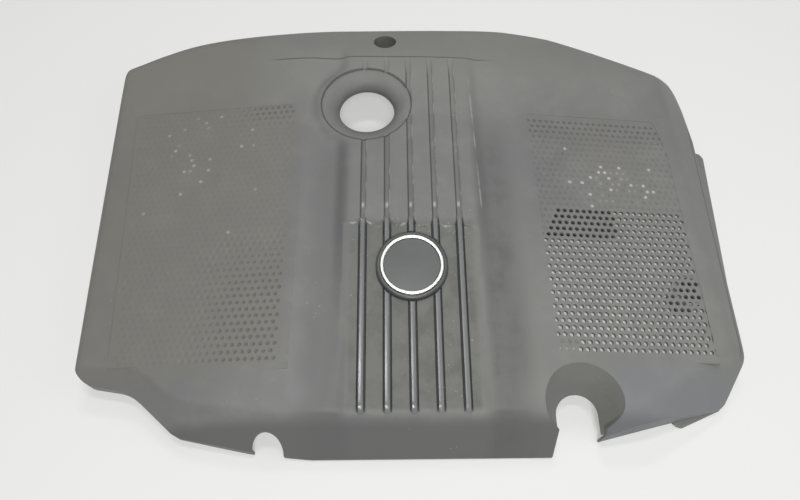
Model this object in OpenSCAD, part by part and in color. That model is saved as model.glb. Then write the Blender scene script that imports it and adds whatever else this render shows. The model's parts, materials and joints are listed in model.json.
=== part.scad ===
// Engine cover: one moulded plastic shell with a ribbed middle, an oil filler funnel,
// a perforated grille panel, a round badge, rubber mounts and two sound absorber pads.
// X runs along the engine cover's width, Y to its rear edge, Z up. Millimetres.
// The origin is the middle of the footprint, on the surface that the rim stands on.

/* [Shell] */
// Overall width, over the right mounting flange
cover_w = 658; // [620:2:690]
// Overall depth, front edge to rear edge
cover_d = 484; // [460:2:510]
// Wall thickness of the moulding
wall = 2.6; // [2:0.2:3.4]
// Height of the fields at their inner edges
field_z = 66; // [60:1:74]
// Height of the ribbed middle over the fields
plateau_rise = 4; // [2:0.5:6]
// Slope of the left field down to its side, in degrees
left_slope = 6.2; // [4:0.2:8]
// Slope of the right field down to its side, in degrees
right_slope = 6.8; // [4:0.2:8]
// Width of the flange that stands out at the right foot
flange_w = 10; // [6:1:14]
// Thickness of that flange
flange_t = 3; // [2:0.2:4]

/* [Ribbed middle] */
// Half the width of the ribbed middle
middle_half = 68; // [62:1:76]
// Distance between neighbouring fins
fin_pitch = 23.4; // [20:0.2:25]
// Number of fins
fin_count = 5; // [3:2:5]
// Width of one fin
fin_w = 5.6; // [4:0.2:7]
// Depth of the ribbed panel under the fins' tops and under the pads above it
panel_step = 1.8; // [1:0.1:2.4]
// Width of the slot at each side of a fin
slot_w = 1.8; // [1:0.1:3]
// Depth of that slot
slot_depth = 1; // [0.6:0.1:1.4]
// Width of a groove between two pads of the upper middle
groove_w = 5.4; // [4:0.2:7]
// Depth of such a groove
groove_depth = 1.2; // [0.6:0.1:1.6]
// Drop of the ribbed panel from its crest to its front end
panel_drop = 15; // [8:0.5:18]

/* [Oil filler funnel] */
// Diameter of the funnel's mouth
filler_mouth_d = 94; // [84:1:104]
// Diameter of the hole at its bottom
filler_hole_d = 58; // [50:1:66]
// Depth of the funnel
filler_depth = 16; // [12:1:22]
// Depth of the small step round its mouth
filler_step = 1; // [0.6:0.1:1.6]

/* [Rear fastener well] */
// Diameter of the round well in the rear edge
well_d = 25.6; // [20:0.2:30]
// Depth of the well
well_depth = 18; // [12:1:24]
// Amount by which the lip on the rear edge stands out
lip_w = 2.4; // [1:0.2:4]

/* [Front cut-outs] */
// Radius of the large funnel-shaped cut-out at its bottom
notch_r = 19; // [15:1:24]
// Radius of its mouth
notch_mouth_r = 33; // [28:1:38]
// Radius of the small half-round cut-out
small_notch_r = 14.2; // [10:0.2:18]
// Width of the shallow recess in the front band
band_recess_w = 38; // [20:1:60]
// Depth of that recess
band_recess_depth = 1.4; // [0.6:0.1:1.8]

/* [Grille] */
// Depth by which the two fields lie below the crown
field_recess = 0.8; // [0.4:0.1:1.2]
// Distance between neighbouring holes in a row
hole_pitch = 6.5; // [6:0.1:7.5]
// Distance between neighbouring rows
row_pitch = 6.8; // [6.2:0.1:7.5]
// Diameter of one hole
hole_d = 4; // [3:0.1:4.4]
// Number of rows that are open right through
open_rows = 22; // [10:1:22]
// Number of holes in a full row
row_holes = 24; // [10:1:24]

/* [Badge] */
// Diameter of the badge's dark rim
badge_d = 68; // [60:1:74]
// Outer diameter of the bright ring
ring_d = 59.6; // [50:0.2:64]
// Width of the bright ring's face
ring_w = 2.8; // [2:0.1:4]
// Thickness of the badge's base
badge_t = 6; // [4:0.5:8]
// Height of the bright ring over the base
ring_h = 1.2; // [0.6:0.1:2]
// Clearance between the badge and its seat
badge_gap = 0.3; // [0.2:0.05:0.6]

/* [Rubber mounts] */
// Diameter of a rubber mount's body
mount_d = 26; // [22:1:30]
// Diameter of its neck, where the holder grips it
neck_d = 17; // [14:1:19]
// Diameter of the socket for the ball stud
socket_d = 10; // [8:0.5:12]
// Depth of that socket
socket_depth = 10; // [8:0.5:12]
// Clearance between a mount and its holder
mount_gap = 0.3; // [0.2:0.05:0.5]

/* [Absorber pads] */
// Thickness of the absorber pads
pad_t = 16; // [10:1:20]

/* [Stiffening ribs] */
// Height of the ribs under the middle
stiff_h = 6; // [4:0.5:8]
// Thickness of those ribs
stiff_t = 1.8; // [1.2:0.1:2.4]

/* [Hidden] */
$fn = 64;

mid_x = -6;
half_w = cover_w / 2;
half_d = cover_d / 2;
crest_y = -20;
crease_y = half_d - 54;
front_crease_y = -half_d + 28;
soft = 2.4;
front_z = 53;
front_slope = 22;
crease_slope = 17;
field_from = mid_x + 116;
left_from = mid_x - 112;
filler_x = -51;
filler_y = half_d - 128;
filler_z = field_z + plateau_rise - 0.6;
well_x = -31.5;
well_y = half_d - 33;
notch_x = 142;
notch_y = -half_d + 33;
notch_z = 22;
notch_depth = 30;
small_notch_x = -137.7;
band_recess_x = 64;
band_recess_h = 18;
badge_y = -77;
left_lean = -0.046;
right_lean = 0.0508;
left_foot = -half_w + 7.7;
right_foot = half_w - flange_w - 6;
left_bow = 2.5;
bow_y = 20;
bow_half = 150;
function left_x(y) = left_foot + left_lean * y;
function right_x(y) = right_foot + right_lean * y;

// outline corners, clockwise from the rear left: x, y, corner radius
OUTLINE = [
    [left_x(188), 188, 18],
    [-half_w + 51, half_d - 29.5, 60],
    [-half_w + 79, half_d - 20.5, 80],
    [-half_w + 134, half_d - 10, 200],
    [-half_w + 199, half_d - 2.8, 300],
    [-20, half_d, 600],
    [half_w - 217, half_d - 1, 80],
    [half_w - 164, half_d - 10.5, 60],
    [half_w - 57, half_d - 55, 60],
    [half_w - 25, half_d - 71.5, 20],
    [half_w - 17, half_d - 98, 60],
    [right_x(90) + 2, 90, 120],
    [right_x(-160), -160, 22],
    [half_w - 48, -half_d + 40, 16],
    [half_w - 104, -half_d + 28, 60],
    [half_w - 163, -half_d + 14, 3],
    [half_w - 209, -half_d, 8],
    [-half_w + 229, -half_d, 60],
    [-half_w + 179, -half_d + 5, 60],
    [-half_w + 108, -half_d + 18, 14],
    [-half_w + 67, -half_d + 54, 40],
    [left_x(-181), -half_d + 61, 17]
];

// slopes that close the crown at its edges: foot point, outward direction, height at the foot, slope
FRONT_EDGE = [0, -half_d, -90, 6, 59];
EDGES = [
    [left_foot - 1.2, 0, 182.6, 38, 64],
    [-half_w + 25, half_d - 41.8, 115.3, 38, 64],
    [-half_w + 65, half_d - 25, 107.8, 39, 64],
    [-half_w + 107, half_d - 15.2, 100.8, 39, 64],
    [-half_w + 167, half_d - 6.3, 96.3, 39, 64],
    [0, half_d, 90, 39, 64],
    [half_w - 191, half_d - 5.7, 79.8, 38, 64],
    [half_w - 110, half_d - 33.1, 67.3, 36, 60],
    [half_w - 41, half_d - 63.3, 62.7, 29, 54],
    [half_w - 21, half_d - 85, 16.8, 21, 46],
    [0, crease_y, 90, field_z + 1, crease_slope],
    [half_w - 122, half_d - 87, 65, 56, 15],
    [right_foot + 4.6, 0, 1.5, 13, 42],
    FRONT_EDGE,
    [-half_w + 143, -half_d + 11.5, -100.4, 18, 56],
    [half_w - 43, -half_d + 40, -50, 8, 42]
];

// two more such slopes meet in a hollow corner at the front left
HOLLOW = [[-half_w + 87.5, -half_d + 35.6, -131, 20, 58], [-half_w + 39, -half_d + 57.8, -97.8, 21, 58]];

function smooth(a, b, v) = let (t = min(1, max(0, (v - a) / (b - a)))) t * t * (3 - 2 * t);
function ramp(v, k) = v > 8 * k ? v : k * ln(1 + exp(v / k));
function sum(v, i = 0) = i >= len(v) ? 0 : v[i] + sum(v, i + 1);
function soft_min(v, k) = let (m = min(v)) m - k * ln(sum([for (q = v) exp(-(q - m) / k)]));

function rim_z(x, y) = 14 * smooth(-150, -185, y) * smooth(-150, -240, x);

// height of the plain crown: fields that fall to the sides, two channels and the middle between them
function side_z(x, y) = soft_min([
    x < mid_x
        ? field_z - tan(left_slope) * ramp(left_from - x, 4)
        : field_z - tan(right_slope) * ramp(x - field_from, 4),
    front_z + tan(front_slope) * (y - front_crease_y)
], soft);
function middle_z(y) = field_z + plateau_rise
    - panel_drop * ramp(crest_y - y, 5) / (crest_y - front_crease_y);
function channel_z(y) = field_z - 2 - 7 * ramp(crest_y - y, 12) / (crest_y - front_crease_y);
function crown_z(x, y) = let (
        out = abs(x - mid_x),
        to_side = smooth(middle_half + 10, middle_half + 46, out),
        in_middle = 1 - smooth(middle_half - 6, middle_half + 8, out)
    ) to_side * side_z(x, y)
    + (1 - to_side) * (channel_z(y) + in_middle * (middle_z(y) - channel_z(y)));
// the crown rises to one level around the funnel's mouth
function top_z(x, y) = let (
        near = 1 - smooth(filler_mouth_d / 2 + 1, filler_mouth_d / 2 + 13, norm([x - filler_x, y - filler_y]))
    ) crown_z(x, y) + near * (filler_z - crown_z(x, y));

// the inner face follows the ribbed panel down, so the wall keeps its thickness there
function inner_drop(x, y) = panel_step
    * (1 - smooth(crest_y - 5, crest_y + 20, y)) * smooth(front_crease_y - 6, front_crease_y + 6, y)
    * (1 - smooth(middle_half - 6, middle_half + 6, abs(x - mid_x)));
function inner_z(x, y) = skin_z(x, y, wall) - inner_drop(x, y);

function edge_z(e, x, y, depth) =
    e[3] + tan(e[4]) * ((e[0] - x) * cos(e[2]) + (e[1] - y) * sin(e[2])) - depth / cos(e[4]);

// the crown and the edge slopes meet in soft roundings; the inner face is the same form, a wall lower
function skin_z(x, y, depth) = soft_min(concat(
    [top_z(x, y) - depth],
    [for (e = EDGES) edge_z(e, x, y, depth)],
    [-soft_min([for (e = HOLLOW) -edge_z(e, x, y, depth)], soft)]
), soft);

// grid stations, as distances inwards from the edges and outwards from the middle
SIDE_STEPS = [0, 1.6, 3.6, 7, 13, 24, 40];
FRONT_STEPS = [0, 4, 9, 15, 21, 27, 36, 52];
BACK_STEPS = [0, 1.6, 3.6, 8, 16, 28, 40, 47, 52, 58, 74];
MIDDLE_STEPS = [0, 30, 60, 66, 72, 78, 88, 98, 108, 118, 130];
field_cols = 5;
field_rows = 12;

function edge_points(d) = [for (k = [0:len(OUTLINE) - 1]) each arc_points(inset(OUTLINE, d), k)];

// side edges lean a little; a column keeps the share of that lean that its place gives it
function lean(x) = x < 0 ? left_lean * x / left_foot : right_lean * x / right_foot;
// the left edge also stands out a little in its middle
function bow(x, y) = x < 0 ? left_bow * x / left_foot * max(0, 1 - pow((y - bow_y) / bow_half, 2)) : 0;
function place_x(x, y) = x + lean(x) * y - bow(x, y);
function column_ends(x, pts) = let (
        k = lean(x),
        n = len(pts),
        hits = [for (i = [0:n - 1])
            let (p = pts[i], q = pts[(i + 1) % n], a = p[0] - k * p[1] - x, b = q[0] - k * q[1] - x)
            if (a * b <= 0 && a != b) p[1] + (q[1] - p[1]) * a / (a - b)]
    ) [min(hits), max(hits)];

function column_x(d) = let (
        l = left_foot + d + 0.2,
        r = right_foot - d - 0.2,
        ls = SIDE_STEPS[len(SIDE_STEPS) - 1],
        ms = MIDDLE_STEPS[len(MIDDLE_STEPS) - 1]
    ) concat(
        [for (v = SIDE_STEPS) l + v],
        [for (i = [1:field_cols - 1]) (l + ls) + (mid_x - ms - l - ls) * i / field_cols],
        [for (i = [len(MIDDLE_STEPS) - 1:-1:0]) mid_x - MIDDLE_STEPS[i]],
        [for (i = [1:len(MIDDLE_STEPS) - 1]) mid_x + MIDDLE_STEPS[i]],
        [for (i = [1:field_cols - 1]) (mid_x + ms) + (r - ls - mid_x - ms) * i / field_cols],
        [for (i = [len(SIDE_STEPS) - 1:-1:0]) r - SIDE_STEPS[i]]
    );
function row_y(ends) = let (
        f = ends[0] + FRONT_STEPS[len(FRONT_STEPS) - 1],
        b = ends[1] - BACK_STEPS[len(BACK_STEPS) - 1]
    ) concat(
        [for (v = FRONT_STEPS) ends[0] + v],
        [for (i = [1:field_rows - 1]) f + (b - f) * i / field_rows],
        [for (i = [len(BACK_STEPS) - 1:-1:0]) ends[1] - BACK_STEPS[i]]
    );

// the moulding: outer skin, inner skin a wall lower and a wall further in, and the rim between them
module moulding() {
    xo = column_x(0);
    xi = column_x(wall);
    n = len(xo);
    m = len(FRONT_STEPS) + field_rows - 1 + len(BACK_STEPS);
    outer_pts = edge_points(0);
    inner_pts = edge_points(wall);
    outer = [for (x = xo) for (y = row_y(column_ends(x, outer_pts)))
        let (px = place_x(x, y)) [px, y, skin_z(px, y, 0)]];
    inner = [for (x = xi) for (y = row_y(column_ends(x, inner_pts)))
        let (px = place_x(x, y)) [px, y, inner_z(px, y)]];
    ring = concat(
        [for (i = [0:n - 1]) i * m],
        [for (j = [1:m - 1]) (n - 1) * m + j],
        [for (i = [n - 2:-1:0]) i * m + m - 1],
        [for (j = [m - 2:-1:1]) j]
    );
    c = len(ring);
    g = n * m;
    low_out = [for (k = ring) [outer[k][0], outer[k][1], rim_z(outer[k][0], outer[k][1])]];
    low_in = [for (k = ring) [inner[k][0], inner[k][1], rim_z(inner[k][0], inner[k][1])]];
    skin = [for (i = [0:n - 2]) for (j = [0:m - 2]) let (a = i * m + j, b = a + m)
        each (i + j) % 2 == 0 ? [[a, a + 1, b + 1], [a, b + 1, b]] : [[a, a + 1, b], [b, a + 1, b + 1]]];
    under = [for (f = skin) [g + f[0], g + f[2], g + f[1]]];
    o = 2 * g;
    q = 2 * g + c;
    skirt = [for (k = [0:c - 1]) let (l = (k + 1) % c) each [
        [ring[k], ring[l], o + l], [ring[k], o + l, o + k],
        [g + ring[l], g + ring[k], q + k], [g + ring[l], q + k, q + l],
        [o + k, o + l, q + l], [o + k, q + l, q + k]]];
    polyhedron(concat(outer, inner, low_out, low_in), concat(skin, under, skirt));
}

// corners moved inwards by the same distance on both of their edges
function unit(v) = v / norm(v);
function cross2(a, b) = a[0] * b[1] - a[1] * b[0];
function inset_corner(c, k, d) = let (
        n = len(c),
        p = [c[k][0], c[k][1]],
        a = unit(p - [c[(k + n - 1) % n][0], c[(k + n - 1) % n][1]]),
        b = unit([c[(k + 1) % n][0], c[(k + 1) % n][1]] - p),
        na = [a[1], -a[0]],
        nb = [b[1], -b[0]],
        q = p + d * (na + nb) / (1 + na * nb)
    ) [q[0], q[1], max(c[k][2] + (cross2(a, b) < 0 ? -d : d), 0.5)];
function inset(c, d) = [for (k = [0:len(c) - 1]) inset_corner(c, k, d)];

// each corner becomes an arc that touches both of its edges
function arc_points(c, k) = let (
        n = len(c),
        p = [c[k][0], c[k][1]],
        a = unit(p - [c[(k + n - 1) % n][0], c[(k + n - 1) % n][1]]),
        b = unit([c[(k + 1) % n][0], c[(k + 1) % n][1]] - p),
        turn = atan2(cross2(a, b), a * b),
        reach = c[k][2] * tan(abs(turn) / 2),
        centre = p - reach * a + c[k][2] * (turn < 0 ? [a[1], -a[0]] : [-a[1], a[0]]),
        from = p - reach * a - centre,
        steps = max(1, ceil(abs(turn) / 12))
    ) [for (s = [0:steps]) let (w = turn * s / steps)
        centre + [from[0] * cos(w) - from[1] * sin(w), from[0] * sin(w) + from[1] * cos(w)]];
module outline(d) polygon(edge_points(d));

// one field's plane, as a frame to draw in: origin on the crown at x = from, tipped down outwards
module on_field(from, tilt) translate([from, 0, field_z]) rotate([0, tilt, 0]) children();

// first hole of the grille, seen from the field's inner edge
grille_x = 13.6;
grille_y = -16;

// distance from each field's inner edge to the cover's side, measured along X
right_reach = right_foot - field_from;
left_reach = left_from - left_foot;
field_top = half_d - 140;
field_bottom = min(-168, grille_y - open_rows * row_pitch - 2);
RIGHT_FIELD = [[8, field_top], [right_reach - 53, field_top], [right_reach - 43, 60],
    [right_reach - 41, field_bottom], [9, field_bottom]];
LEFT_FIELD = [[-8, field_top + 15], [-left_reach + 17.5, field_top + 15],
    [-left_reach + 39.5, field_bottom - 1], [-6, field_bottom - 1]];
field_corner = 4;

// grille: staggered rows; the first four rows are stepped back at their start, the last two start late
grille_end = right_reach - 44;
margin = 5;
open_h = (open_rows - 1) * row_pitch + 2 * margin + hole_d / 2;
open_w = grille_end - grille_x + margin / 2;
plate_lap = 1.5;
plate_t = wall + 0.8;
field_cut = 20;
function row_start(r) = r < 4 ? (3 - r) / 2 + 1 : (r % 2 == 0 ? 0.5 : 0) + (r >= open_rows - 2 ? 3 : 0);
module grille_holes()
    for (r = [0:open_rows - 1], k = [0:row_holes - 1]) {
        x = grille_x + (row_start(r) + k) * hole_pitch;
        if (x < grille_end) translate([x, grille_y - r * row_pitch]) circle(d = hole_d, $fn = 24);
    }
module open_area(lap) translate([grille_x - lap, grille_y + margin - open_h - lap])
    square([open_w + 2 * lap, open_h + 2 * lap]);
module grille_plate() on_field(field_from, right_slope) translate([0, 0, -field_recess - plate_t + 0.4])
    linear_extrude(plate_t) difference() {
        open_area(plate_lap);
        grille_holes();
    }
module window() on_field(field_from, right_slope) translate([0, 0, -field_cut])
    linear_extrude(2 * field_cut) open_area(0);
module rounded(points) offset(r = field_corner, $fn = 24) offset(delta = -field_corner) polygon(points);
module recesses() {
    on_field(field_from, right_slope) translate([0, 0, -field_recess])
        linear_extrude(field_cut) rounded(RIGHT_FIELD);
    on_field(left_from, -left_slope) translate([0, 0, -field_recess])
        linear_extrude(field_cut) rounded(LEFT_FIELD);
}

// oil filler funnel: a bowl that starts level under its mouth and ends upright in a short neck
neck_h = 4;
bowl_steps = 7;
function bowl(reach, drop) = [for (i = [0:bowl_steps]) let (w = 90 * i / bowl_steps)
    [filler_mouth_d / 2 - reach * sin(w), -filler_step - drop * (1 - cos(w))]];
bowl_reach = (filler_mouth_d - filler_hole_d) / 2;
bowl_drop = filler_depth - filler_step;
module at_filler() translate([filler_x, filler_y, filler_z]) children();
module funnel_wall() at_filler() rotate_extrude($fn = 96) polygon(concat(
    [[filler_mouth_d / 2 + wall, -filler_step]],
    bowl(bowl_reach, bowl_drop),
    [[filler_hole_d / 2, -filler_depth - neck_h], [filler_hole_d / 2 + wall, -filler_depth - neck_h]],
    [for (i = [bowl_steps:-1:0]) bowl(bowl_reach - wall, bowl_drop)[i] - [0, wall]],
    [[filler_mouth_d / 2 + wall, -filler_step - wall]]));
module funnel_cut() at_filler() {
    translate([0, 0, -filler_step]) cylinder(d = filler_mouth_d, h = field_cut, $fn = 96);
    rotate_extrude($fn = 96) polygon(concat([[0, 1]], [[filler_mouth_d / 2, 1]],
        bowl(bowl_reach, bowl_drop), [[filler_hole_d / 2, -2 * field_cut], [0, -2 * field_cut]]));
}

// round well in the rear edge
well_top = 56;
slit = [6, 1.2];
module at_well() translate([well_x, well_y, well_top - well_depth]) children();
module well_wall() intersection() {
    at_well() translate([0, 0, -wall]) cylinder(d = well_d + 2 * wall, h = 2 * well_depth);
    translate([well_x, crease_y, field_z + 1 - wall / 2]) rotate([-crease_slope, 0, 0])
        translate([-well_d, -well_d, -3 * well_depth]) cube([2 * well_d, 4 * well_d, 3 * well_depth]);
}
module well_cut() at_well() {
    cylinder(d = well_d, h = 60);
    translate([0.5, -4, -1.6]) rotate([0, 0, -53]) translate([-slit[0] / 2, -slit[1] / 2, 0])
        cube([slit[0], slit[1], 10]);
}

// lip along the rear edge, to the right of the middle
lip_from = half_w - 215;
lip_to = half_w - 119;
lip_z = 27;
lip_h = 8;
module rear_lip() translate([0, 0, lip_z]) linear_extrude(lip_h) intersection() {
    difference() {
        outline(-lip_w);
        outline(wall / 2);
    }
    translate([lip_from, 0]) square([lip_to - lip_from, cover_d]);
}

// funnel-shaped cut-out in the front edge
notch_flare = 8;
notch_reach = 60;
notch_lean = 7;
module at_notch() translate([notch_x, notch_y, notch_z]) children();
module notch_wall() intersection() {
    at_notch() rotate_extrude($fn = 96) polygon([[notch_r - 1, 0], [notch_mouth_r - 2, notch_depth - 2],
        [notch_mouth_r + wall, notch_depth - 3], [notch_r + wall, -wall], [notch_r - 1, -wall]]);
    translate([notch_x - notch_reach, notch_y - notch_flare, 0]) cube([2 * notch_reach, notch_reach, 100]);
}
module notch_cut() at_notch() {
    cylinder(r1 = notch_r, r2 = notch_mouth_r + notch_flare,
        h = notch_depth * (notch_mouth_r + notch_flare - notch_r) / (notch_mouth_r - notch_r), $fn = 96);
    translate([0, 0, -notch_reach]) cylinder(r = notch_r, h = 100, $fn = 96);
    translate([0, 0, -notch_reach]) linear_extrude(100) polygon([[-notch_r, 0],
        [-notch_r - notch_lean, -notch_reach], [notch_r + notch_lean, -notch_reach], [notch_r, 0]]);
}

// shallow recess in the front band, square to its slope
module band_recess() translate([band_recess_x, FRONT_EDGE[1], FRONT_EDGE[3]])
    rotate([FRONT_EDGE[4], 0, 0])
    translate([0, -10, -band_recess_depth]) cube([band_recess_w, band_recess_h + 10, 10]);
module small_notch_cut() translate([small_notch_x, -half_d + 5, -5]) cylinder(r = small_notch_r, h = 100);

// ribbed middle: fins stand in a shallow panel, under pads that end in rounded tongues
fin_span = (fin_count - 1) / 2;
panel_slope = atan(panel_drop / (crest_y - front_crease_y));
panel_run = (crest_y - front_crease_y) / cos(panel_slope);
panel_half = middle_half - 7;
panel_end = 2;
fin_start = -7;
fin_taper = 9;
tongue_y = -16;
tongue_share = 0.75;
module along_panel() translate([mid_x, crest_y, field_z + plateau_rise])
    rotate([panel_slope, 0, 0]) children();
module tongue(k) {
    half = (fin_pitch - groove_w) / 2;
    translate([(k + 0.5) * fin_pitch, tongue_y]) polygon(concat([[half, 60], [half, 0]],
        [for (w = [15:15:165]) [half * cos(w), -half * tongue_share * sin(w)]], [[-half, 0], [-half, 60]]));
}
module panel_area() difference() {
    translate([-panel_half, -panel_run + panel_end])
        square([2 * panel_half, panel_run - panel_end + fin_start]);
    for (k = [-fin_span:fin_span]) translate([k * fin_pitch - fin_w / 2, -panel_run - 1])
        square([fin_w, panel_run + 20]);
    for (k = [-fin_span - 1:fin_span]) tongue(k);
}
module panel_cut() along_panel() {
    translate([0, 0, -panel_step]) linear_extrude(field_cut) panel_area();
    rotate([90, 0, 90]) translate([0, 0, -panel_half]) linear_extrude(2 * panel_half)
        polygon([[-panel_run + panel_end, -panel_step], [-panel_run + panel_end, 5],
            [-panel_run + panel_end + fin_taper, 5], [-panel_run + panel_end + fin_taper, 0]]);
}
module slots() for (k = [-fin_span:fin_span], s = [-1, 1]) along_panel()
    translate([k * fin_pitch + s * (fin_w + slot_w) / 2, -panel_run + 4, -panel_step - slot_depth])
        translate([-slot_w / 2, 0, 0]) cube([slot_w, panel_run - 15, field_cut]);
groove_run = 192;
groove_bevel = 0.8;
module grooves() for (k = [-fin_span:fin_span])
    translate([mid_x + k * fin_pitch, crest_y + groove_run + fin_start, field_z + plateau_rise])
        rotate([90, 0, 0]) linear_extrude(groove_run) polygon([
            [-groove_w / 2 + groove_bevel, -groove_depth], [-groove_w / 2 - groove_bevel, 0.5],
            [-groove_w / 2 - groove_bevel, 9], [groove_w / 2 + groove_bevel, 9],
            [groove_w / 2 + groove_bevel, 0.5], [groove_w / 2 - groove_bevel, -groove_depth]]);

// round seat of the badge, square to the panel
seat_depth = panel_step + 1.2;
seat_bevel = 3;
module at_badge() along_panel() translate([0, (badge_y - crest_y) / cos(panel_slope), 0]) children();
module seat_wall() at_badge() translate([0, 0, -seat_depth - wall])
    cylinder(d = badge_d + 2 * wall, h = seat_depth + 0.5);
module seat_cut() at_badge() {
    translate([0, 0, -seat_depth]) cylinder(d = badge_d + 2 * badge_gap, h = 20);
    translate([0, 0, -panel_step - 0.1]) cylinder(d = badge_d + seat_bevel, h = 20);
}

// holders under the shell that grip the rubber mounts by the neck: x, y, height of the holder's plate
MOUNTS = [[half_w - 70, -97, 28], [-half_w + 73, -97, 28], [half_w - 97, 120, 30], [-half_w + 89, 130, 32]];
holder_t = 3;
head_h = 3;
head_room = 3;
module holder(p) translate([p[0], p[1], p[2]]) difference() {
    cylinder(d = mount_d + 2 * wall, h = inner_z(p[0], p[1]) - p[2] + 1);
    translate([0, 0, -1]) cylinder(d = neck_d + 2 * mount_gap, h = holder_t + 2);
    translate([0, 0, holder_t]) cylinder(d = mount_d, h = head_h + head_room);
    translate([-mount_d, -neck_d / 2 + 0.5, -1])
        cube([mount_d, neck_d - 1, holder_t + head_h + head_room + 1]);
}

// stiffening ribs that follow the inner face of the middle
stiff_steps = 8;
function along(p, q, i) = p + (q - p) * i / stiff_steps;
module stiffener(p, q) {
    run = norm(q - p);
    translate([p[0], p[1], 0]) rotate([90, 0, atan2(q[1] - p[1], q[0] - p[0])])
        translate([0, 0, -stiff_t / 2]) linear_extrude(stiff_t) polygon(concat(
            [for (i = [0:stiff_steps]) let (c = along(p, q, i))
                [run * i / stiff_steps, inner_z(c[0], c[1]) + 1]],
            [for (i = [stiff_steps:-1:0]) let (c = along(p, q, i))
                [run * i / stiff_steps, inner_z(c[0], c[1]) - stiff_h]]));
}
module stiffeners() {
    left = mid_x - middle_half - 14;
    right = mid_x + middle_half + 14;
    stiffener([left, -190], [left, 50]);
    stiffener([right, -160], [right, 170]);
    for (y = [-150, -20, 40]) stiffener([left - 1, y], [right + 1, y]);
}

// flange along the right foot and tab under the front right corner
flange_from = -156;
flange_to = 94;
module foot_flange() linear_extrude(flange_t) polygon([
    [right_x(flange_to) - 1.5, flange_to], [half_w - 3, flange_to - 4], [half_w, flange_to - 10],
    [right_x(flange_from + 20) + flange_w, flange_from + 20],
    [right_x(flange_from + 6) + flange_w - 3, flange_from + 6],
    [right_x(flange_from) - 1.5, flange_from]]);
module foot_tab() linear_extrude(flange_t) translate([half_w, -half_d])
    polygon([[-44, 60], [-39.5, 56], [-40, 48], [-48, 40.5], [-76, 29], [-86, 25], [-91, 27], [-94, 30],
        [-88, 37]]);

module main_cover() color([0.33, 0.33, 0.33]) difference() {
    union() {
        difference() {
            moulding();
            window();
        }
        grille_plate();
        funnel_wall();
        well_wall();
        rear_lip();
        notch_wall();
        seat_wall();
        foot_flange();
        foot_tab();
        stiffeners();
        for (p = MOUNTS) holder(p);
    }
    recesses();
    funnel_cut();
    well_cut();
    notch_cut();
    small_notch_cut();
    band_recess();
    panel_cut();
    slots();
    grooves();
    seat_cut();
}

module badge_base() color([0.2, 0.2, 0.2]) at_badge() translate([0, 0, -seat_depth + badge_gap])
    cylinder(d = badge_d, h = badge_t);
module badge_ring() color([0.9, 0.9, 0.9]) at_badge() translate([0, 0, badge_t - seat_depth + badge_gap])
    difference() {
        cylinder(d = ring_d, h = ring_h);
        translate([0, 0, -1]) cylinder(d = ring_d - 2 * ring_w, h = ring_h + 2);
    }
module badge_disc() color([0.3, 0.3, 0.3]) at_badge() translate([0, 0, badge_t - seat_depth + badge_gap])
    cylinder(d = ring_d - 2 * ring_w - 2 * badge_gap, h = ring_h / 2);

// rubber mount: head above the holder's plate, neck through it, body with the socket below
body_h = socket_depth + 3;
module mount(p) color([0.12, 0.12, 0.12]) translate([p[0], p[1], p[2]]) difference() {
    union() {
        translate([0, 0, -mount_gap - body_h]) cylinder(d = mount_d, h = body_h);
        translate([0, 0, -mount_gap - 0.5]) cylinder(d = neck_d, h = holder_t + 2 * mount_gap + 1);
        translate([0, 0, holder_t + mount_gap]) cylinder(d = mount_d - 4, h = head_h);
    }
    translate([0, 0, -mount_gap - body_h - 1]) cylinder(d = socket_d, h = socket_depth + 1);
}

// sound absorber pads, flat against the inner face of the fields
pad_gap = 0.4;
pad_edge = 16;
left_pad_half = 150;
right_pad_top = 84;
right_pad_step = -4;
right_pad_low = -38;
module pad(points) linear_extrude(pad_t) polygon(points);
module absorber_left() color([0.15, 0.15, 0.15])
    on_field(left_from, -left_slope) translate([0, 0, -wall - pad_gap - pad_t])
        pad([[-pad_edge, left_pad_half], [-left_reach + 105.5, left_pad_half],
            [-left_reach + 105.5, -left_pad_half], [-pad_edge, -left_pad_half]]);
module absorber_right() color([0.15, 0.15, 0.15])
    on_field(field_from, right_slope) translate([0, 0, -wall - 2 * pad_gap - field_recess - pad_t])
        pad([[pad_edge, right_pad_top], [right_reach - 103, right_pad_top],
            [right_reach - 103, right_pad_step], [right_reach - 115, right_pad_step],
            [right_reach - 115, right_pad_low], [pad_edge, right_pad_low]]);

main_cover();
badge_base();
badge_ring();
badge_disc();
mount(MOUNTS[0]);  // mount_1
mount(MOUNTS[1]);  // mount_2
mount(MOUNTS[2]);  // mount_3
mount(MOUNTS[3]);  // mount_4
absorber_left();
absorber_right();
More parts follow.
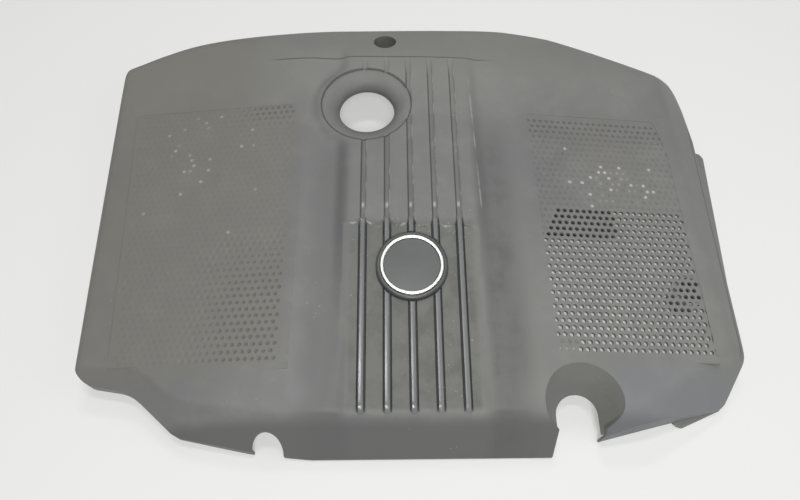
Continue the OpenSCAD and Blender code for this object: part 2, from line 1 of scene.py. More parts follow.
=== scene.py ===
import json
import math
import bpy
import numpy as np
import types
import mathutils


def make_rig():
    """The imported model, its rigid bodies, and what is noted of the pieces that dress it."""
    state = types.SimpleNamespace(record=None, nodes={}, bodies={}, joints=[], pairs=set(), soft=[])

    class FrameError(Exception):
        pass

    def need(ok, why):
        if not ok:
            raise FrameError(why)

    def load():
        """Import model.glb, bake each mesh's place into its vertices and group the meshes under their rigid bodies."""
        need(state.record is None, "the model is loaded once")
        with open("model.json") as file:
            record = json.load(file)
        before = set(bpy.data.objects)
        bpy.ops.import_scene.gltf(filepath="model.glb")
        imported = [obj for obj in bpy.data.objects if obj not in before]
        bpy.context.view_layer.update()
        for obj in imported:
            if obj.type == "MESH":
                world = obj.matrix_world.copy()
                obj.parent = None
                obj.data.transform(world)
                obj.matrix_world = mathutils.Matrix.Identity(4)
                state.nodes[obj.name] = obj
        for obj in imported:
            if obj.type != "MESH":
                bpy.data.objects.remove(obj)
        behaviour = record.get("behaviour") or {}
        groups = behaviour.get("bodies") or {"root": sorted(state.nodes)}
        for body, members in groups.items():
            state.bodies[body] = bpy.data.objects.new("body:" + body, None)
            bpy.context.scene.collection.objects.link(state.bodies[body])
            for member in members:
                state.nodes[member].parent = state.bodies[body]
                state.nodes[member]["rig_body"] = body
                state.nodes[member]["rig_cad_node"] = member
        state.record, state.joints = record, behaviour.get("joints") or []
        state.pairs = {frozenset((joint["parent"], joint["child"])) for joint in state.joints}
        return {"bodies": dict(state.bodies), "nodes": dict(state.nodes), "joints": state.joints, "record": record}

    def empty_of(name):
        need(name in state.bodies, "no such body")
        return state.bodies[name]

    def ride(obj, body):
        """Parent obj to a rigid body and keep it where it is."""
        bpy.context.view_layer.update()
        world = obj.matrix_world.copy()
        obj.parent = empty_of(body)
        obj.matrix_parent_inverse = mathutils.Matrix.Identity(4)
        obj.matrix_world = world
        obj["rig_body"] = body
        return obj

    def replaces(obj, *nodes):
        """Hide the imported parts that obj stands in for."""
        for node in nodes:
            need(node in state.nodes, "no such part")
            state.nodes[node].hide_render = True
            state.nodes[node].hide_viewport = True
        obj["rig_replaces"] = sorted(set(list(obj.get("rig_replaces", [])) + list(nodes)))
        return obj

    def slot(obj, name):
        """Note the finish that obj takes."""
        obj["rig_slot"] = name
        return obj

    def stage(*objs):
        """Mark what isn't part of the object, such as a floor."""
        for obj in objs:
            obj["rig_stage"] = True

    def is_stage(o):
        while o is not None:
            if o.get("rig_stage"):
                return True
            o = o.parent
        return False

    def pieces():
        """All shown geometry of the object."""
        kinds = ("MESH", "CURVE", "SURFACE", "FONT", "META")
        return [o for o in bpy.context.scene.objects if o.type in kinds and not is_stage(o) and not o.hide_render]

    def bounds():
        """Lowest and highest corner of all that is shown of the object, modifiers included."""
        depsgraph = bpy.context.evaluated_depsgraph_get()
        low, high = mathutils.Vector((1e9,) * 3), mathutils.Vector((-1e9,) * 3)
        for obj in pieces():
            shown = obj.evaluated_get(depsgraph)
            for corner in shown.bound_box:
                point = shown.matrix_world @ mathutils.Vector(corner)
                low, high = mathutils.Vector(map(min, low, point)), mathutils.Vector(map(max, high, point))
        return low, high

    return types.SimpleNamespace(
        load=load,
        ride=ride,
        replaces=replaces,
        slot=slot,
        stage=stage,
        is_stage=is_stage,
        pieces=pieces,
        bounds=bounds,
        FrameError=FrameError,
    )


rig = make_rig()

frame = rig.load()
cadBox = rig.bounds()
mm = 0.001  # every size below is in millimetres and every angle in degrees
rng = np.random.default_rng(11)
print("frame loaded, box", [round(v, 4) for v in list(cadBox[0]) + list(cadBox[1])])


def tanOf(angle):
    return math.tan(math.radians(angle))


# 0 below a, 1 above b, and an S-curve between them
def smooth(a, b, v):
    t = np.clip((v - a) / (b - a), 0.0, 1.0)
    return t * t * (3.0 - 2.0 * t)


# 0 for negative v and v for positive v, with a soft bend of size k
def softRamp(v, k):
    return k * np.logaddexp(0.0, v / k)


# the lowest of several surfaces, joined by roundings of size k
def softMin(layers, k):
    return -k * np.logaddexp.reduce(np.stack([-layer / k for layer in layers]), axis=0)


# stations from a up to b, not b itself, about one step apart
def spaced(a, b, step):
    return np.linspace(a, b, max(1, round(abs(b - a) / step)) + 1)[:-1]


# a place for points: they move by one step
def moved(x, y, z=0.0):
    return lambda p: p + np.array([x, y, z])


# points in millimetres and face arrays become one mesh; faces are turned outwards by the sign of the volume
def putMesh(name, points, *faceSets, sharpAngle=32.0):
    sizes = np.concatenate([np.full(len(f), f.shape[1]) for f in faceSets])
    corners = np.concatenate([f.ravel() for f in faceSets]).astype(np.int32)
    starts = np.concatenate([[0], np.cumsum(sizes)[:-1]]).astype(np.int32)
    mesh = bpy.data.meshes.new(name)
    mesh.vertices.add(len(points))
    mesh.vertices.foreach_set("co", (np.asarray(points, float) * mm).astype(np.float32).ravel())
    mesh.loops.add(len(corners))
    mesh.loops.foreach_set("vertex_index", corners)
    mesh.polygons.add(len(sizes))
    mesh.polygons.foreach_set("loop_start", starts)
    mesh.update(calc_edges=True)
    mesh.validate()
    piece = bpy.data.objects.new(name, mesh)
    bpy.context.scene.collection.objects.link(piece)
    if volumeOf(mesh) < 0:
        mesh.flip_normals()
    smoothShade(mesh, sharpAngle)
    return piece


# sum over triangles of a . (b x c) / 6
def volumeOf(mesh):
    mesh.calc_loop_triangles()
    co = np.empty(len(mesh.vertices) * 3)
    mesh.vertices.foreach_get("co", co)
    tri = np.empty(len(mesh.loop_triangles) * 3, dtype=np.int32)
    mesh.loop_triangles.foreach_get("vertices", tri)
    a, b, c = np.moveaxis(co.reshape(-1, 3)[tri.reshape(-1, 3)], 1, 0)
    return float(np.einsum("ij,ij->i", a, np.cross(b, c)).sum() / 6.0)


def smoothShade(mesh, sharpAngle):
    mesh.polygons.foreach_set("use_smooth", np.ones(len(mesh.polygons), dtype=bool))
    mesh.set_sharp_from_angle(angle=math.radians(sharpAngle))


# quads of a grid of n by m points; either direction may close on itself
def gridFaces(n, m, closeN=False, closeM=False, first=0):
    i, j = np.meshgrid(np.arange(n if closeN else n - 1), np.arange(m if closeM else m - 1), indexing="ij")
    i, j = i.ravel(), j.ravel()
    nextI, nextJ = (i + 1) % n, (j + 1) % m
    return first + np.stack([i * m + j, nextI * m + j, nextI * m + nextJ, i * m + nextJ], axis=1)


# corners given as x, y, radius become arcs that touch both of their edges, after a move inwards
def roundCorners(corners, inset=0.0, stepAngle=6.0):
    flat = np.array([c[:2] for c in corners], float)
    points = []
    for k, (_, _, radius) in enumerate(corners):
        a = flat[k] - flat[k - 1]
        b = flat[(k + 1) % len(flat)] - flat[k]
        a, b = a / np.hypot(*a), b / np.hypot(*b)
        turn = math.atan2(a[0] * b[1] - a[1] * b[0], a @ b)
        inA, inB = np.array([a[1], -a[0]]), np.array([b[1], -b[0]])
        corner = flat[k] + inset * (inA + inB) / (1 + inA @ inB)
        bend = max(radius + (-inset if turn < 0 else inset), 0.3)
        toCentre = inA if turn < 0 else -inA
        centre = corner - bend * math.tan(abs(turn) / 2) * a + bend * toCentre
        w = np.linspace(0, turn, max(1, math.ceil(abs(math.degrees(turn)) / stepAngle)) + 1)[:, None]
        across = np.array([-toCentre[1], toCentre[0]])
        points.append(centre - bend * (np.cos(w) * toCentre + np.sin(w) * across))
    return np.concatenate(points)


# a profile of radius and height turned about an axis; a closed profile makes a ring,
# an open one starts and ends on the axis, where one point closes each pole
def turned(name, profile, steps=96, ring=True, place=lambda p: p, sharpAngle=32.0):
    profile = np.asarray(profile, float)
    angle = np.linspace(0, 2 * np.pi, steps, endpoint=False)[:, None]
    body = profile if ring else profile[1:-1]
    grid = np.stack([np.cos(angle) * body[:, 0], np.sin(angle) * body[:, 0],
                     np.broadcast_to(body[:, 1], (steps, len(body)))], axis=-1)
    points = grid.reshape(-1, 3)
    faces = [gridFaces(steps, len(body), True, ring)]
    if not ring:
        poles = np.array([[0, 0, profile[0, 1]], [0, 0, profile[-1, 1]]])
        here = np.arange(steps)
        there = (here + 1) % steps
        m, low = len(body), len(points)
        faces.append(np.stack([here * m, np.full(steps, low), there * m], axis=1))
        faces.append(np.stack([here * m + m - 1, there * m + m - 1, np.full(steps, low + 1)], axis=1))
        points = np.concatenate([points, poles])
    return putMesh(name, place(points), *faces, sharpAngle=sharpAngle)


# a polygon with its edges rounded, as rings one above the other and a flat face at each end
def slab(name, corners, low, high, rounding=0.6, place=lambda p: p):
    bevel = rounding * 0.3
    levels = [(rounding, low), (bevel, low + bevel), (0, low + rounding),
              (0, high - rounding), (bevel, high - bevel), (rounding, high)]
    rings = []
    for inset, z in levels:
        flat = roundCorners(corners, inset)
        rings.append(np.column_stack([flat, np.full(len(flat), z)]))
    count = len(rings[0])
    faces = gridFaces(len(rings), count, False, True)
    caps = np.stack([np.arange(count), np.arange(count)[::-1] + (len(rings) - 1) * count])
    return putMesh(name, place(np.concatenate(rings)), faces, caps)


# a quarter round for a profile, centred at (r, z)
def quarter(r, z, size, fromAngle, toAngle, steps=6):
    t = np.radians(np.linspace(fromAngle, toAngle, steps))
    return np.column_stack([r + size * np.cos(t), z + size * np.sin(t)])


# one cut by a closed tool, worked out at once
def cut(piece, tool):
    step = piece.modifiers.new("cut", "BOOLEAN")
    step.operation = "DIFFERENCE"
    step.solver = "MANIFOLD"
    step.object = tool
    shown = piece.evaluated_get(bpy.context.evaluated_depsgraph_get())
    mesh = bpy.data.meshes.new_from_object(shown)
    piece.modifiers.clear()
    old = piece.data
    piece.data = mesh
    bpy.data.meshes.remove(old)
    bpy.data.meshes.remove(tool.data)
    smoothShade(mesh, 32.0)


# the moulded cover
cover = {
    "width": 658.0,
    "depth": 484.0,
    "wall": 2.6,
    "midX": -6.0,  # middle of the ribbed zone
    "crestY": -20.0,  # where the ribbed panel starts to fall
    "creaseY": 188.0,
    "frontCreaseY": -214.0,
    "fieldHeight": 66.0,
    "middleRise": 4.0,
    "panelDrop": 15.0,
    "channelDepth": 2.0,
    "channelDrop": 7.0,
    "leftSlope": 6.2,
    "rightSlope": 6.8,
    "leftFieldFrom": -118.0,
    "rightFieldFrom": 110.0,
    "frontHeight": 53.0,
    "frontSlope": 22.0,
    "middleHalf": 68.0,
    "leftLean": -0.046,  # the side edges run a little out of square
    "leftBow": [4.5, 20.0, 150.0],  # the left edge stands out this much at its middle; place and half length
    "rightLean": 0.0508,
    "flange": 10.0,
    "rounding": 2.4,
    "lipProud": 2.4,  # lip on the rear edge, right of the middle
    "lipFrom": 114.0,
    "lipTo": 210.0,
    "frontRecess": [64.0, 102.0, -221.0, 1.4],  # from x, to x, upper y, depth
}
halfW, halfD, midX = cover["width"] / 2, cover["depth"] / 2, cover["midX"]
leftFoot = -halfW + 7.7
rightFoot = halfW - cover["flange"] - 6.0
middleTop = cover["fieldHeight"] + cover["middleRise"]


def leftX(y):
    return leftFoot + cover["leftLean"] * y


def rightX(y):
    return rightFoot + cover["rightLean"] * y


# outline corners, clockwise from the rear left: x, y, corner radius
outline = [
    (leftX(188), 188, 28), (-278, 212.5, 60), (-250, 221.5, 80), (-195, 232, 200), (-130, 239.2, 300),
    (-20, halfD, 600), (112, 241, 80), (165, 231.5, 60), (272, 187, 60), (304, 170.5, 20), (312, 144, 60),
    (rightX(90) + 2, 90, 120), (rightX(-160), -160, 22), (281, -202, 16), (225, -214, 60), (166, -228, 3),
    (120, -halfD, 8), (-100, -halfD, 60), (-150, -237, 60), (-221, -224, 14), (-267, -184.5, 42),
    (leftX(-176.5), -176.5, 15),
]
# edge slopes: foot point, outward direction, height at the foot, slope
edges = [
    (leftFoot - 1.2, 0, 182.6, 38, 64), (-304, 200.2, 115.3, 38, 64), (-264, 217, 107.8, 39, 64),
    (-222, 226.8, 100.8, 39, 64), (-162, 235.7, 96.3, 39, 64), (0, halfD, 90, 39, 64),
    (138, 236.3, 79.8, 38, 64), (219, 208.9, 67.3, 36, 60), (288, 178.7, 62.7, 29, 54),
    (308, 157, 16.8, 21, 46),
    (0, cover["creaseY"], 90, cover["fieldHeight"] + 1, 17), (207, 155, 65, 56, 15),
    (rightFoot + 4.6, 0, 1.5, 13, 42), (0, -halfD, -90, 6, 59), (-186, -230.5, -100.4, 18, 56),
    (286, -202, -50, 8, 42),
]
# two more slopes, of which the higher one counts, so that they meet in a hollow at the front left corner
hollowEdges = [(-241.5, -206.4, -131, 20, 58), (-290, -184.2, -97.8, 21, 58)]

filler = {
    "x": -51.0, "y": 114.0, "z": middleTop - 0.6, "mouth": 47.0, "hole": 29.6, "depth": 16.0,
    "step": 1.8,  # the bowl starts this far below the mouth's edge
    "neck": 2.5,  # straight part under the bowl
}


# foot height + tan(slope) x the distance inwards from the foot, lowered by a wall's depth
def edgeHeight(edge, x, y, depth):
    footX, footY, facing, footZ, slope = edge
    a, s = math.radians(facing), math.radians(slope)
    inwards = (footX - x) * math.cos(a) + (footY - y) * math.sin(a)
    return footZ + math.tan(s) * inwards - depth / math.cos(s)


# the two fields, which fall to the sides, and the slope in front of them
def sideHeight(x, y):
    left = cover["fieldHeight"] - tanOf(cover["leftSlope"]) * softRamp(cover["leftFieldFrom"] - x, 4)
    right = cover["fieldHeight"] - tanOf(cover["rightSlope"]) * softRamp(x - cover["rightFieldFrom"], 4)
    front = cover["frontHeight"] + tanOf(cover["frontSlope"]) * (y - cover["frontCreaseY"])
    return softMin([np.where(x < midX, left, right), front], cover["rounding"])


# 0 behind the crest and 1 at the front crease, with a soft bend
def fallAt(y, bend):
    return softRamp(cover["crestY"] - y, bend) / (cover["crestY"] - cover["frontCreaseY"])


# fields that fall to the sides, two channels, the middle, and one level around the funnel's mouth
def topHeight(x, y):
    out = np.abs(x - midX)
    half = cover["middleHalf"]
    toSide = smooth(half + 10, half + 46, out)
    inMiddle = 1 - smooth(half - 6, half + 8, out)
    middle = middleTop - cover["panelDrop"] * fallAt(y, 5)
    channel = cover["fieldHeight"] - cover["channelDepth"] - cover["channelDrop"] * fallAt(y, 12)
    centre = channel + inMiddle * (middle - channel)
    crown = toSide * sideHeight(x, y) + (1 - toSide) * centre
    fromFiller = np.hypot(x - filler["x"], y - filler["y"])
    near = 1 - smooth(filler["mouth"] + 1, filler["mouth"] + 13, fromFiller)
    return crown + near * (filler["z"] - crown)


# the moulded skin: the lowest of crown, slopes and hollow, or the surface that lies a wall's depth inside
def skinHeight(x, y, depth=0.0):
    hollow = -softMin([-edgeHeight(e, x, y, depth) for e in hollowEdges], cover["rounding"])
    layers = [topHeight(x, y) - depth] + [edgeHeight(e, x, y, depth) for e in edges] + [hollow]
    return softMin(layers, cover["rounding"])


# the rim stands 14 higher at the front left corner
def rimHeight(x, y):
    return 14 * smooth(-150, -185, y) * smooth(-150, -240, x)


# fins, slots, grooves and pads of the ribbed middle
ribs = {
    "pitch": 23.4, "count": 5, "finHalf": 2.5, "finHeight": 2.2, "slotTo": 3.8, "slotDepth": 1.7,
    "grooveHalf": 2.5, "grooveDepth": 1.9, "padRise": 1.8,
    "finStart": -27.0, "slotStart": -31.0, "finEnd": -213.0, "taper": 9.0,
    "grooveEnd": 174.0,
    "padEnds": [-32.0, -33.2, -34.4, -35.6, -36.8, -38.0],
    "padRound": 0.75,  # length of a pad's rounded end over half its width
    "halfWidth": 61.0,
}


# depth of the relief in the ribbed middle, from the distance to the nearest fin and from y:
# fins and slots in front, level pads with grooves between them behind
def relief(x, y):
    u, pitch, fin, half = x - midX, ribs["pitch"], ribs["finHalf"], ribs["grooveHalf"]
    last = (ribs["count"] - 1) / 2
    nearest = np.clip(np.round(u / pitch), -last, last)
    signed = u - nearest * pitch
    du = np.abs(signed)
    padIndex = np.clip(np.floor(u / pitch + last + 1), 0, ribs["count"]).astype(int)
    padCentre = (padIndex - last - 0.5) * pitch
    padHalf = pitch / 2 - half
    across = np.clip(np.abs(u - padCentre) / padHalf, 0, 1)
    roundEnd = ribs["padRound"] * padHalf * (1 - np.sqrt(1 - across ** 2))
    padEnd = np.asarray(ribs["padEnds"])[padIndex] + roundEnd
    onPad = smooth(-0.9, 0.9, y - padEnd)
    tall = ribs["finHeight"] * smooth(ribs["finEnd"], ribs["finEnd"] + ribs["taper"], y)
    inFin = 1 - smooth(ribs["finStart"] - 0.4, ribs["finStart"] + 0.4, y)
    inSlot = 1 - smooth(ribs["slotStart"] - 1, ribs["slotStart"] + 1, y)
    inSlot = inSlot * smooth(ribs["finEnd"], ribs["finEnd"] + 5, y)
    body = np.interp(signed, [-fin - 0.1, -fin + 0.1, -fin + 0.4, 0.3, fin - 0.2, fin + 0.1],
                     [0, 0.8, 1, 1, 0.72, 0])
    slot = np.interp(du, [fin - 0.1, fin + 0.1, ribs["slotTo"] - 0.2, ribs["slotTo"] + 0.15], [0, 1, 1, 0])
    panel = -ribs["padRise"] + inFin * tall * body - inSlot * ribs["slotDepth"] * slot
    groove = np.interp(signed, [-half - 0.5, -half + 0.1, -half + 0.5, half - 0.6, half + 0.6],
                       [0, 1, 1, 0.55, 0])
    groove = groove * (1 - smooth(ribs["grooveEnd"] - 6, ribs["grooveEnd"], y))
    upper = -ribs["grooveDepth"] * groove
    inGroove = du < half + 0.6
    floorLine = np.where(y > ribs["finStart"], upper, panel)
    mixed = np.where(inGroove, floorLine, onPad * upper + (1 - onPad) * panel)
    lateral = 1 - smooth(ribs["halfWidth"], ribs["halfWidth"] + 4, np.abs(u))
    ended = smooth(ribs["finEnd"] - 6, ribs["finEnd"] + 1, y)
    return lateral * ended * mixed


# the recess in the front band
def frontRecess(x, y):
    fromX, toX, topY, depth = cover["frontRecess"]
    return -depth * smooth(fromX - 0.6, fromX + 0.6, x) * (1 - smooth(toX - 2, toX + 2, x)) * (
        1 - smooth(topY - 1.5, topY + 1.5, y))


# 0 in the middle and 1 at the left or the right foot
def towards(foot, x):
    start = midX + math.copysign(cover["middleHalf"] + 12, foot)
    return np.clip((x - start) / (foot - start), 0, 1)


def leanOf(x):
    return cover["leftLean"] * towards(leftFoot, x) + cover["rightLean"] * towards(rightFoot, x)


# the leaning columns near the left edge also bow outwards
def bowOf(x, y):
    size, middle, half = cover["leftBow"]
    return -size * towards(leftFoot, x) * np.maximum(0, 1 - ((y - middle) / half) ** 2)


# where each leaning column crosses the outline: its lowest and its highest y
def columnEnds(x, inset):
    p = roundCorners(outline, inset, 3.0)
    q = np.roll(p, -1, axis=0)
    k = leanOf(x)[:, None]
    a = p[:, 0] - k * p[:, 1] - x[:, None]
    b = q[:, 0] - k * q[:, 1] - x[:, None]
    crosses = (a * b <= 0) & (a != b)
    share = np.where(crosses, a / np.where(a == b, 1, a - b), 0)
    hit = p[:, 1] + (q[:, 1] - p[:, 1]) * share
    return np.where(crosses, hit, np.inf).min(axis=1), np.where(crosses, hit, -np.inf).max(axis=1)


# columns: close together at the side edges, around each fin and over the ribbed middle
def shellColumns():
    fine, coarse = 2.6, 8
    ribbed, closer = 63, 130  # half widths of the zone with columns of its own and of the zone in fine steps
    last = np.array([12, 13.6, 15.2])
    side = np.array([0.2, 1, 2, 3.5, 5.5, 8, 11, 14, 17.5, 21, 25, 30, 36, 43])
    near = np.array([0, 1.3, 2.0, 2.5, 2.7, 2.9, 3.3, 4.3, 4.65, 5.2, 6.2, 7.6, 9.0, 10.4])
    fins = (np.arange(ribs["count"]) - (ribs["count"] - 1) / 2) * ribs["pitch"] + midX
    middle = np.concatenate([(fins[:, None] + near).ravel(), (fins[:, None] - near).ravel(),
                             fins[0] - last, fins[-1] + last, (fins[:-1] + fins[1:]) / 2])
    fromX = cover["frontRecess"][0]
    x = np.concatenate([
        leftFoot + side, spaced(leftFoot + 50, midX - closer, coarse),
        spaced(midX - closer, midX - ribbed, fine), middle,
        spaced(midX + ribbed + fine, midX + closer, fine), [fromX - 0.6, fromX + 0.6],
        spaced(midX + closer, rightFoot - 48, coarse), rightFoot - side])
    return np.unique(np.round(x, 2))


# rows: stations inwards from the front edge and from the rear edge, and even steps between them
def shellRows(low, high):
    front = np.concatenate([[0, 0.8, 1.8, 3.2, 5, 7], np.arange(9, 52, 2.2)])
    back = np.concatenate([[0, 0.8, 1.8, 3.2, 5, 7.5, 10.5, 14], np.arange(18, 44, 4), np.arange(44, 62, 2),
                           [66, 74]])
    t = np.unique(np.round(np.concatenate([np.linspace(0, 0.38, 34), np.linspace(0.38, 0.485, 36),
                                           np.linspace(0.485, 1, 42)]), 5))[1:-1]
    low, high = low[:, None], high[:, None]
    f, b = low + 54, high - 78
    return np.concatenate([low + front, f + (b - f) * t, high - back[::-1]], axis=1)


# height-field moulding: an outer skin, an inner skin one wall further in, and the rim between them
def mouldedShell():
    wall = cover["wall"]
    xOut = shellColumns()
    xIn = np.interp(xOut, [leftFoot, leftFoot + 43, rightFoot - 43, rightFoot],
                    [leftFoot + wall, leftFoot + 43, rightFoot - 43, rightFoot - wall])
    skins = []
    for x, depth in ((xOut, 0.0), (xIn, wall)):
        low, high = columnEnds(x, depth)
        lip = cover["lipProud"] * smooth(cover["lipFrom"] - 4, cover["lipFrom"] + 1, x)
        high = high + lip * (1 - smooth(cover["lipTo"] - 4, cover["lipTo"] + 8, x))
        y = shellRows(low, high)
        px = x[:, None] + leanOf(x)[:, None] * y + bowOf(x[:, None], y)
        z = skinHeight(px, y, depth)
        if depth == 0:
            z = z + relief(px, y) + frontRecess(px, y)
        else:
            inMiddle = 1 - smooth(ribs["halfWidth"], ribs["halfWidth"] + 8, np.abs(px - midX))
            z = z - ribs["padRise"] * inMiddle * (1 - smooth(-24, -10, y)) * smooth(-219, -207, y)
        skins.append(np.stack([px, y, z], axis=-1))
    n, m = skins[0].shape[:2]
    count = n * m
    ringIds = np.concatenate([np.arange(n) * m, (n - 1) * m + np.arange(1, m),
                              np.arange(n - 2, -1, -1) * m + m - 1, np.arange(m - 2, 0, -1)])
    flat = [s.reshape(-1, 3) for s in skins]
    outRing, inRing = flat[0][ringIds], flat[1][ringIds]
    foot = rimHeight(outRing[:, 0], outRing[:, 1])
    rings = []
    for share, height in ((0.0, 0.45), (0.0, 0.8), (0.12, 0.25), (0.3, 0.0), (0.7, 0.0), (0.9, 0.3)):
        r = outRing * (1 - share) + inRing * share
        top = np.minimum(outRing[:, 2], inRing[:, 2])
        r[:, 2] = foot + (height if share or height > 0.5 else 0.5 * (top - foot))
        rings.append(r)
    c = len(ringIds)
    base = 2 * count
    loops = [ringIds] + [base + k * c + np.arange(c) for k in range(len(rings))] + [count + ringIds]
    skirt = [np.stack([a, np.roll(a, -1), np.roll(b, -1), b], axis=1) for a, b in zip(loops[:-1], loops[1:])]
    skin = gridFaces(n, m)
    under = skin[:, ::-1] + count
    return putMesh("cover_shell", np.concatenate(flat + rings), skin, under, *[s[:, ::-1] for s in skirt])


# one field's plane: x outwards from its inner edge, tipped down to the side, z out of the surface
def onField(side):
    fromX = cover[side + "FieldFrom"]
    tilt = math.radians(cover["rightSlope"] if side == "right" else -cover["leftSlope"])

    def place(p):
        x = fromX + p[:, 0] * math.cos(tilt) + p[:, 2] * math.sin(tilt)
        z = cover["fieldHeight"] - p[:, 0] * math.sin(tilt) + p[:, 2] * math.cos(tilt)
        return np.column_stack([x, p[:, 1], z])
    return place


# the ribbed panel's plane, tipped down to the front
def onPanel(shiftY=0.0):
    tilt = math.atan(cover["panelDrop"] / (cover["crestY"] - cover["frontCreaseY"]))

    def place(p):
        y = p[:, 1] + shiftY / math.cos(tilt)
        return np.column_stack([midX + p[:, 0],
                                cover["crestY"] + y * math.cos(tilt) - p[:, 2] * math.sin(tilt),
                                middleTop + y * math.sin(tilt) + p[:, 2] * math.cos(tilt)])
    return place


fields = {
    "recess": 0.35,
    "pitch": 6.5, "rowPitch": 6.8, "holeRadius": 2.05, "dimpleRadius": 1.75, "dimpleDepth": 0.7,
    "openRows": 22, "firstX": 13.6, "firstY": -16.0, "plate": 3.0,
    # corners: x, y, corner radius
    "right": [(9, 101, 3), (150, 101, 5), (158, 60, 60), (161, -166, 4), (13, -166, 8)],
    "left": [(-186, 117, 6), (-8, 117, 4), (-6, -169, 10), (-128, -169, 2), (-131, -165.5, 2),
             (-154, -165.5, 2), (-157, -160.5, 2), (-165, -160.5, 4)],
}

well = {"x": -31.5, "y": 209.0, "radius": 12.8, "floor": 38.0, "wall": 2.6, "slit": [6.0, 1.2]}
notch = {"x": 142.0, "y": -209.0, "z": 22.0, "radius": 19.0, "mouth": 33.0, "depth": 30.0, "wall": 2.6}
smallNotch = {"x": -137.7, "y": -halfD + 5, "radius": 14.2}
badge = {"y": -77.0, "radius": 34.0, "seat": 3.0, "clearance": 0.3, "thick": 6.0, "ring": 29.8,
         "ringWidth": 3.2, "ringHeight": 1.2}


# an upright round tool that reaches well above the cover
def drill(name, spot, radius, low, steps=64):
    profile = [(0, low), (radius, low), (radius, 100), (0, 100)]
    return turned(name, profile, steps, False, moved(spot["x"], spot["y"]))


print("shell")
shell = mouldedShell()
flare = (notch["mouth"] - notch["radius"]) / notch["depth"]
coneTop = 60
conePoints = [(0, -30), (notch["radius"], -30), (notch["radius"], 0),
              (notch["radius"] + coneTop * flare, coneTop), (0, coneTop)]
seatR = badge["radius"] + badge["clearance"]
seatPoints = [(0, -badge["seat"]), (seatR, -badge["seat"]), (seatR, -2.0), (seatR + 1.2, -1.9),
              (seatR + 1.3, 20), (0, 20)]
badgeAt = onPanel(badge["y"] - cover["crestY"])
tools = [
    slab("window", fields["right"], -20, 20, 0.5, onField("right")),
    slab("window", fields["left"], -20, 20, 0.5, onField("left")),
    drill("mouth", filler, filler["mouth"], 30, 128),
    drill("wellHole", well, well["radius"], 30),
    turned("notchCone", conePoints, 128, False, moved(notch["x"], notch["y"], notch["z"])),
    slab("notchMouth", [(-25.5, -60, 1), (-19.2, 0, 1), (19.2, 0, 1), (27, -60, 1)], -20, 90, 0.5,
         moved(notch["x"], notch["y"])),
    drill("halfRound", smallNotch, smallNotch["radius"], -10),
    turned("badgeSeat", seatPoints, 96, False, badgeAt),
]
for tool in tools:
    cut(shell, tool)
print("shell cut:", len(shell.data.polygons), "faces")


# rings of one cell from its square edge inwards; the square edge has four points to a side,
# so rows that are shifted by half a pitch still share their points
def cellEdge():
    p, h = fields["pitch"] / 2, fields["rowPitch"] / 2
    s = np.linspace(-1, 1, 5)[:-1]
    return np.concatenate([np.column_stack([p * s, -h + 0 * s]), np.column_stack([p + 0 * s, h * s]),
                           np.column_stack([-p * s, h + 0 * s]), np.column_stack([-p + 0 * s, -h * s])])


# a plate of square cells: plain ones (kind 0), blind dimples (1) and open holes (2), joined at their shared
# edge points; each dimple has its depth and its filling: light dust above 0, painted shade below
def cellPlate(name, centres, kinds, depths, dustAndShadeFill, place):
    top, thick = -fields["recess"], fields["plate"]
    edge = cellEdge()
    angle = np.radians(-135 + 22.5 * np.arange(16))
    circle = np.column_stack([np.cos(angle), np.sin(angle)])
    corner = (centres[:, None, :] + edge).reshape(-1, 2)
    key, ids = np.unique(np.round(corner * 100).astype(int), axis=0, return_inverse=True)
    ids = ids.reshape(-1, 16)
    base = key / 100.0
    points = [np.column_stack([base, np.full(len(base), z)]) for z in (top, top - thick)]
    # each point's fill: dust above 0, painted shade below
    dusty = [np.zeros(2 * len(base))]
    used = 2 * len(base)
    lower = len(base)
    turn = np.roll(np.arange(16), -1)
    quads, caps = [], []

    def join(a, b):
        quads.append(np.stack([a, a[:, turn], b[:, turn], b], axis=-1).reshape(-1, 4))

    # rings from the square edges of the chosen cells downwards; each has a radius, a height and its filling: dust
    # above 0, painted shade below
    def sunk(chosen, rings):
        nonlocal used
        centre, above = centres[chosen], ids[chosen]
        for radius, z, dustAndShade in rings:
            ring = centre[:, None, :] + radius * circle
            heights = np.broadcast_to(np.reshape(z, (-1, 1, 1)), ring.shape[:2] + (1,))
            points.append(np.concatenate([ring, heights], axis=-1).reshape(-1, 3))
            dusty.append(np.repeat(np.broadcast_to(dustAndShade, len(centre)), 16))
            below = used + np.arange(len(centre) * 16).reshape(-1, 16)
            used += len(centre) * 16
            join(above, below)
            above = below
        return above

    plain, blind, pierced = (kinds == k for k in (0, 1, 2))
    caps.append(ids[plain])
    caps.append(ids[plain | blind][:, ::-1] + lower)
    dimple, hole = fields["dimpleRadius"], fields["holeRadius"]
    sink, dustAndShade = depths[blind], dustAndShadeFill[blind]
    caps.append(sunk(blind, [(dimple + 0.2, top, 0.0), (dimple - 0.15, top - 0.7 * sink, dustAndShade),
                             (dimple - 0.7, top - sink, dustAndShade)]))
    join(sunk(pierced, [(hole + 0.2, top, 0.0), (hole, top - 0.25, 0.0), (hole, top - thick, 0.0)]),
         ids[pierced] + lower)
    a, b = ids.ravel(), ids[:, turn].ravel()
    forward = a.astype(np.int64) * len(base) + b
    outer = ~np.isin(forward, b.astype(np.int64) * len(base) + a)
    a, b = a[outer], b[outer]
    quads.append(np.stack([b, a, a + lower, b + lower], axis=1))
    piece = putMesh(name, place(np.concatenate(points)), np.concatenate(quads), *[c for c in caps if len(c)],
                    sharpAngle=28.0)
    piece.data.attributes.new("dustAndShade", "FLOAT", "POINT").data.foreach_set("value", np.concatenate(dusty))
    return piece


# rows and columns of cells, and their centres; every second row is shifted by half a pitch
def cellCentres(firstX, firstY, rows, columns):
    r, k = np.meshgrid(rows, columns, indexing="ij")
    place = k + np.where(r % 2 == 0, 0.5, 0.0)
    x, y = firstX + place * fields["pitch"], firstY - r * fields["rowPitch"]
    return r.ravel(), place.ravel(), np.column_stack([x.ravel(), y.ravel()])


